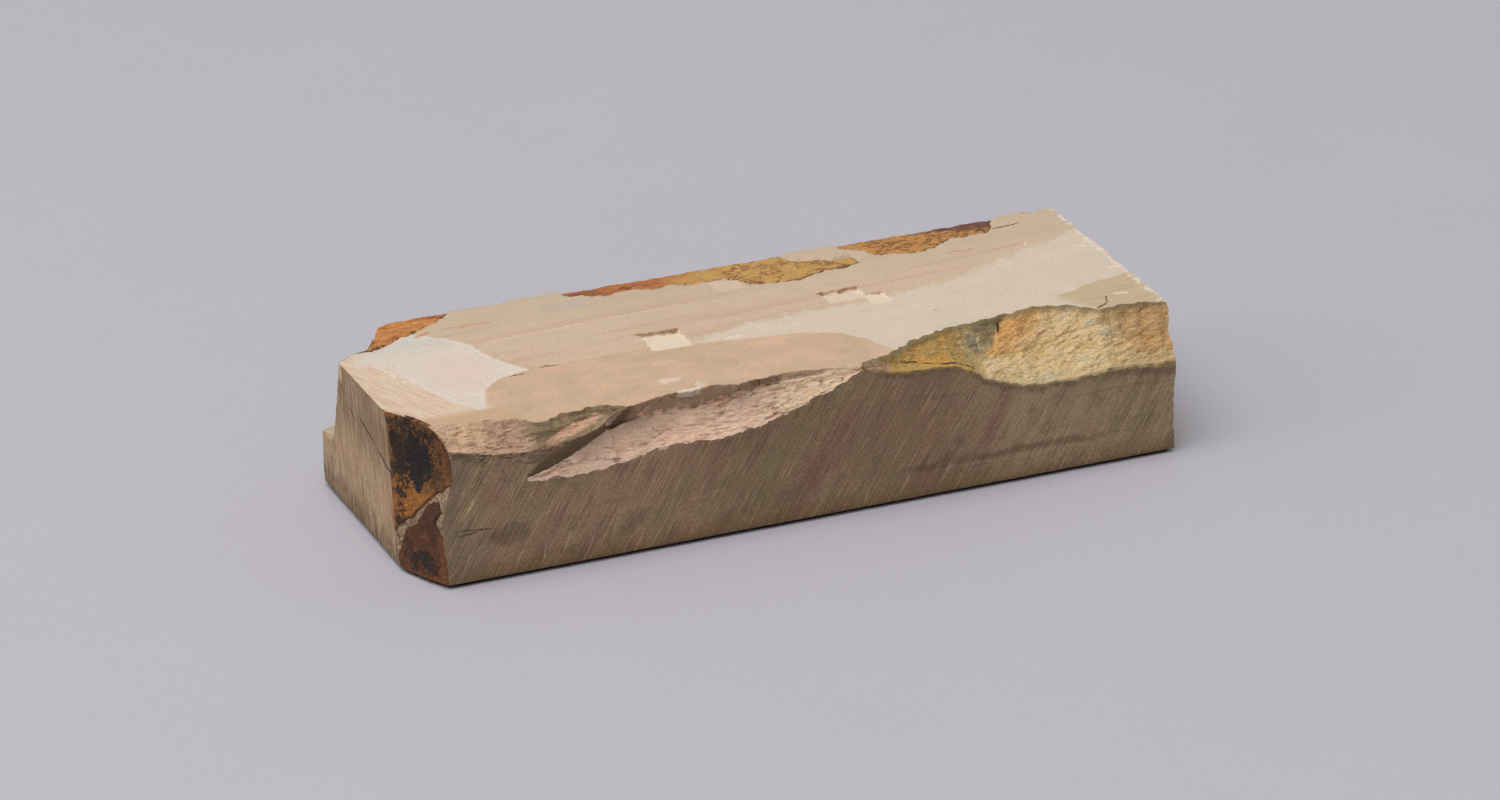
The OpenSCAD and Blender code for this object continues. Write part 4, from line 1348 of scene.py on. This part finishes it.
def front_skin_material():
    """Ochre, granular skin: mustard at the left, paler right of a slanting step, with painted highlights on
    its raised grains and painted shade in its crevices.
    """
    p = Paint("ochre_skin")
    x, y, z, mask = p.x, p.y, p.z, p.mask
    s = y + z - (FRONT + TOP)
    wander = p.noise((3, 1.4, 6), 41, 3, turn=OVER_EDGE)
    grain = p.noise((0.5, 0.5, 0.5), 42, 2, 0.6)
    clumps = p.noise((1.7, 0.9, 6), 43, 5, 0.7, 0.3, turn=OVER_EDGE)
    bits = p.noise((0.85, 0.5, 6), 45, 3, 0.7, 0.4, turn=OVER_EDGE)
    zones = p.noise((9, 3.6, 6), 44, 4, 0.6, turn=OVER_EDGE)
    tone = toned(0.57)
    step = mask(x - 52.5 - s * 0.5 + wander * 0.8, -0.8, 0.8)
    # raised clumps painted paler as highlights and low ones darker as shade in the crevices
    mustard = p.mix(
        tone(162, 130, 76), (mask(zones, 0, 1.0), tone(180, 134, 66)),
        (mask(clumps, 0.1, 1.2) * 0.65, tone(198, 164, 106)),
        (mask(clumps, -0.3, -1.3) * 0.7, tone(110, 90, 54)),
        (mask(x + wander * 3, 24, 15) * 0.75, tone(140, 122, 92)),
        (mask(x + wander * 1.5, 44, 48) * 0.7, tone(166, 148, 108)),
        (mask(x + s * 0.1 + wander, 50.5, 53.5) * mask(s, 2, 7) * 0.8, tone(116, 104, 78)))
    du, dv = (x - 49.8 + (s - 6) * 0.12) / 1.5, (s - 6.0) / 4.0
    slate = mask(du * du + dv * dv + wander * 0.35, 1.2, 0.7)
    ridges = p.lines(
        x + wander * 0.4, s + wander * 0.3, ((51.6, 9.6), (51.4, 2.4), 0.34),
        ((57.6, 4.6), (51.6, -4.2), 0.34), ((45.6, 8.6), (47.6, 2.0), 0.22))
    cleft = p.lines(
        x + wander * 0.4, s + wander * 0.3, ((27, 1.4), (33, 0.6), 0.4), ((32.6, 0.9), (36.4, -1.7), 0.42),
        ((35.8, -1.7), (43.4, -1.9), 0.44), ((42.8, -1.6), (47.4, -5.4), 0.4),
        ((58.4, 13.2), (57.6, 8.2), 0.5))
    mustard = p.mix(mustard, (slate * 0.85, tone(124, 114, 98)), (ridges * 0.8, tone(208, 190, 152)))
    # here too raised clumps are painted paler as highlights and low ones darker as crevice shade
    pale = p.mix(
        tone(196, 169, 127),
        (mask(zones, 0.1, 1.0) * 0.75, tone(184, 158, 104)),
        (mask(zones, -0.1, -1.0) * 0.8, tone(188, 178, 148)),
        (mask(x - s * 0.8 + wander * 3, 66, 55) * mask(s + wander, -1, 3) * 0.85, tone(198, 148, 86)),
        (mask(x + wander * 5, 82, 95) * 0.75, tone(176, 134, 86)),
        (mask(x + wander * 3, 84, 90) * mask(s + wander * 2, 5, 9) * 0.7, tone(116, 102, 72)),
        (mask(s + wander, -7.5, -11) * 0.5, tone(174, 158, 120)),
        (mask(clumps, 0.4, 1.5) * 0.5, tone(216, 198, 158)),
        (mask(clumps, -0.4, -1.4) * 0.75, tone(126, 102, 66)))
    mustard = p.mix(
        mustard,
        (
            mask(x + wander * 1.5, 25, 21),
            p.mix(tone(146, 120, 92), (mask(clumps, -0.2, -1.0), tone(84, 66, 48)))))
    # low bits painted darker as crevice shade, raised bits paler as highlights
    face = p.mix(
        mustard, (step, pale),
        (mask(bits, -0.5, -1.4) * 0.7, tone(104, 82, 52)),
        (mask(bits, 0.6, 1.5) * 0.55, tone(228, 208, 168)))
    # the olive, darker strip under the top rim, and a dark line along the lower rim
    rim, upper = p.field("rim") + wander * 0.5, mask(s, 0, 4)
    face = p.mix(
        face,
        (mask(rim, 4.2, 1.4) * upper * mask(x, 14, 24) * 0.7, tone(118, 104, 72)),
        (mask(rim, 1.6, 0.2) * upper * 0.6, tone(92, 80, 56)),
        (mask(rim, 0.9, 0.1) * (1 - upper) * 0.75, tone(108, 86, 54)),
        (cleft, tone(52, 42, 28)))
    # raised bits brightened a little more: painted highlight
    return p.finish(
        p.shade(face, grain * 0.1 + bits * 0.04), 0.85,
        clumps * 0.13 + bits * 0.17 + grain * 0.05 - cleft * 0.4 + ridges * 0.2)


def corner_skin_material(upper):
    """Amber and black skin on the upper part of the corner, or red-brown skin below it."""
    p = Paint("dark_corner_skin" if upper else "red_corner_skin")
    x, y, z, mask = p.x, p.y, p.z, p.mask
    u = (x - CORNER[0]) * CORNER_ALONG[0] + (y - CORNER[1]) * CORNER_ALONG[1]
    over = (0, 0, math.atan2(CORNER_ALONG[1], CORNER_ALONG[0]))  # turned so that x runs along the corner
    mottle = p.noise((2.6, 9, 2.6), 51 + upper, 4, 0.66, 0.4, turn=over)
    fine = p.noise((0.8, 9, 0.8), 53, 3, 0.65, 0.3, turn=over)
    bed = p.noise((3.5, 9, 2.5), 54, 2, turn=over)
    cracks = mask(abs(bed), 0.09, 0.02) * mask(mottle, 0.1, 0.7)
    tone = toned(0.6)

    drift = p.noise((3.2, 9, 3.2), 55, 4, 0.68, turn=over)
    near_u, near_z = u + mottle * 2.2 + fine * 0.6, z + drift * 2.6

    def blot(cu, cz, ru, rz, edge):
        """A ragged dark blot round a point, with a soft or a crisp edge."""
        return mask(oval(near_u, near_z, cu, cz, ru, rz) + fine * 0.4, 1.0 + edge, 1.0 - edge)

    if upper:
        amber = p.mix(
            tone(128, 80, 32), (mask(fine, 0.2, 1.3), tone(158, 104, 44)),
            (mask(mottle, 0.2, 1.2), tone(96, 58, 26)))
        brown = p.mix(
            tone(100, 63, 31), (mask(mottle, -0.2, 0.7), tone(50, 35, 23)),
            (mask(fine, 0.5, 1.3) * 0.7, tone(148, 98, 48)))
        black = p.most(blot(-1.8, 29.5, 4.8, 6.0, 0.16), blot(-7.6, 30.5, 2.6, 8.5, 0.3) * 0.85)
        black = p.most(
            black,
            p.most(blot(4.6, 27.2, 2.2, 2.0, 0.4) * 0.6, blot(-3.0, 37.6, 7.5, 1.6, 0.4) * 0.9))
        black = p.most(black, mask(fine + mottle * 0.7, 0.7, 1.2) * mask(z + mottle, 21, 26) * 0.8)
        smudge = p.most(blot(-6.0, 13.0, 2.4, 3.6, 0.3), blot(-6.6, 20.6, 2.0, 2.8, 0.3))
        face = p.mix(
            brown, (mask(z + mottle * 1.4, 24.5, 22), amber),
            (mask(u + fine, 6.0, 8.5) * 0.6, tone(104, 64, 32)),
            (mask(fine + mottle, 0.5, 1.1) * mask(u, 2, 5) * 0.8, tone(38, 28, 20)),
            (black, tone(25, 20, 16)), (smudge * 0.9, tone(34, 26, 19)),
            (cracks * mask(z, 26, 20) * 0.8, tone(44, 28, 16)),
            (mask(p.field("rim") + fine * 0.3, 1.1, 0.1) * 0.6, tone(60, 40, 26)))
    else:
        smudge = p.most(blot(2.2, 5.2, 4.6, 2.0, 0.4), blot(-3.5, 8.0, 2.2, 1.6, 0.4) * 0.6)
        face = p.mix(
            tone(80, 46, 24), (mask(mottle, 0.0, 1.0), tone(52, 32, 18)),
            (mask(mottle, -0.3, -1.2), tone(100, 60, 30)),
            (mask(z + mottle, 9, 16) * 0.6, tone(62, 35, 23)),
            (mask(fine, 0.6, 1.4) * 0.5, tone(112, 74, 46)),
            (mask(u + fine - z * 0.1, 5.8, 8.6) * 0.6, tone(114, 70, 38)),
            (mask(z + fine * 0.6, 3.4, 1.2) * 0.5, tone(100, 62, 38)),
            (smudge * 0.85, tone(30, 23, 18)), (cracks * 0.5, tone(40, 25, 18)),
            (mask(p.field("rim") + fine * 0.3, 0.9, 0.1) * 0.5, tone(46, 30, 21)),
            # painted contact shadow along the foot, near-black as on the block
            (mask(z, 1.3, 0.9), tone(22, 16, 12)))
    return p.finish(
        p.shade(face, fine * 0.16), 0.62 - smudge * 0.1, mottle * 0.1 + fine * 0.16 - cracks * 0.2)


def rear_skin_material(node):
    """Orange, mustard and rusty skin, laid differently on each patch."""
    p = Paint(node)
    x, y, mask = p.x, p.y, p.mask
    mottle = p.noise((4.2, 2.4, 9), 61, 4, 0.62, 0.4)
    fine = p.noise((1.4, 0.9, 9), 62, 3, 0.65, 0.3)
    rings = p.noise((5.5, 3.6, 9), 63, 3, 0.6, 0.6)
    rim = p.field("rim")
    ring = mask(abs(rings - 0.35), 0.24, 0.08) * mask(fine, -1.2, -0.2)
    if node == "rear_skin_left":
        face = p.mix(
            colour(204, 134, 72),
            (mask(mottle, 0, 0.8), colour(180, 104, 50)),
            (mask(mottle, -0.2, -1.0), colour(214, 162, 98)),
            (mask(x + y * 0.3, -84, -91) * 0.5, colour(190, 158, 96)),
            (mask(mottle + fine * 0.8, 0.7, 1.3) * 0.9, colour(104, 68, 46)),
            (mask(fine, -1.0, -1.6) * 0.7, colour(232, 196, 150)),
            (mask(rim + fine * 0.5, 0.9, 0.2) * mask(mottle, -0.2, 0.4), colour(84, 62, 46)),
            (mask(y + fine * 0.8 - x * 0.3, 59.4, 60.6) * 0.8, colour(218, 206, 194)))
    elif node == "rear_skin_middle":
        warm = p.mix(
            colour(190, 118, 66),
            (mask(mottle, -0.1, 0.7), colour(142, 82, 52)),
            (mask(fine, 0.5, 1.3) * 0.8, colour(220, 160, 106)),
            (mask(mottle + fine * 0.6, 0.8, 1.3) * 0.9, colour(78, 54, 44)))
        mustard = p.mix(
            colour(200, 156, 88),
            (mask(mottle, 0, 1.0), colour(206, 150, 80)),
            (mask(mottle, -0.3, -1.2), colour(196, 168, 112)),
            (mask(fine, 0.7, 1.6) * 0.5, colour(222, 180, 120)),
            (ring * mask(x, 2, 8) * 0.85, colour(140, 92, 58)))
        face = p.mix(
            warm, (mask(x + mottle * 3, -14, -2), mustard),
            (mask(x + mottle * 4, -24, -31) * 0.6, colour(112, 76, 54)),
            (mask(y + mottle, 32.5, 35) * mask(x, 12, -2) * 0.7, colour(196, 112, 52)),
            (mask(rim + fine * 0.4, 0.7, 0.1) * 0.7, colour(104, 74, 50)))
    else:
        warm = p.mix(
            colour(196, 140, 78),
            (mask(mottle, 0, 1.0), colour(190, 124, 62)),
            (mask(fine, 0.6, 1.6) * 0.6, colour(216, 168, 108)),
            (ring * 0.9, colour(122, 78, 54)))
        rusty = p.mix(
            colour(118, 76, 60), (mask(mottle, 0, 0.8), colour(92, 58, 50)),
            (mask(fine, 0.5, 1.2) * 0.8, colour(182, 124, 92)),
            (mask(fine, -0.8, -1.4), colour(66, 46, 42)))
        face = p.mix(
            warm,
            (mask(y + mottle * 2.4 + fine + (x - 60) * 0.22, 33.5, 36), rusty),
            (mask(rim + fine * 0.4, 0.6, 0.1) * 0.6, colour(112, 78, 56)))
    return p.finish(p.shade(face, fine * 0.1), 0.66, mottle * 0.1 + fine * 0.12 - ring * 0.15)


def paper_material():
    """The pale floor."""
    p = Paint("pale_paper")
    fibre = p.noise((0.9, 0.9, 9), 71, 3, 0.65)
    cloud = p.noise((40, 40, 9), 72, 2)
    return p.finish(p.shade(colour(189, 186, 193), fibre * 0.02 + cloud * 0.005), 0.9, fibre * 0.012)


# ---------------------------------------------------------------- the scene

block = build_stone()
front_skin = build_front_skin()
upper_skin = build_corner_skin("corner_upper_layer", UPPER_SKIN, 151, "corner_skin_upper")
lower_skin = build_corner_skin("corner_lower_layer", LOWER_SKIN, 161, "corner_skin_lower")
rear_skins = [build_rear_skin(node) for node in REAR_SKINS]

for part in BLOCK_PARTS:
    block.data.materials.append(stone_material(part))
front_skin.data.materials.append(front_skin_material())
upper_skin.data.materials.append(corner_skin_material(True))
lower_skin.data.materials.append(corner_skin_material(False))
for piece, node in zip(rear_skins, REAR_SKINS):
    piece.data.materials.append(rear_skin_material(node))

scene = bpy.context.scene
scene.view_settings.view_transform = "Standard"

floor_mesh = bpy.data.meshes.new("floor")
floor_mesh.from_pydata([(-9, -9, 0), (9, -9, 0), (9, 9, 0), (-9, 9, 0)], [], [(0, 1, 2, 3)])
floor = bpy.data.objects.new("floor", floor_mesh)
scene.collection.objects.link(floor)
floor_mesh.materials.append(paper_material())

camera_data = bpy.data.cameras.new("camera")
camera_data.lens, camera_data.sensor_width = 120, 36
camera = bpy.data.objects.new("camera", camera_data)
scene.collection.objects.link(camera)
azimuth, elevation = math.radians(-22.90), math.radians(25.35)
back = Vector(
    (
        math.sin(azimuth) * math.cos(elevation), -math.cos(azimuth) * math.cos(elevation),
    math.sin(elevation)))
camera.location = Vector((-0.4414, -1.0467, 0.5558))
camera.rotation_euler = (-back).to_track_quat("-Z", "Y").to_euler()
scene.camera = camera


def lamp(name, where, size, power):
    """A round soft lamp that points at the object."""
    data = bpy.data.lights.new(name, "AREA")
    data.shape, data.size, data.energy = "DISK", size, power
    light = bpy.data.objects.new(name, data)
    light.location = where
    light.rotation_euler = (-Vector(where)).to_track_quat("-Z", "Y").to_euler()
    scene.collection.objects.link(light)


lamp("key", (-1.0, -0.6, 3.1), 2.9, 76 * BRIGHTNESS)
lamp("left", (-2.6, 0.2, 1.4), 1.6, 12 * BRIGHTNESS)
world = bpy.data.worlds.new("studio")
world.use_nodes = True
world.node_tree.nodes["Background"].inputs["Color"].default_value = (1, 1, 1, 1)
world.node_tree.nodes["Background"].inputs["Strength"].default_value = 0.36 * BRIGHTNESS
scene.world = world
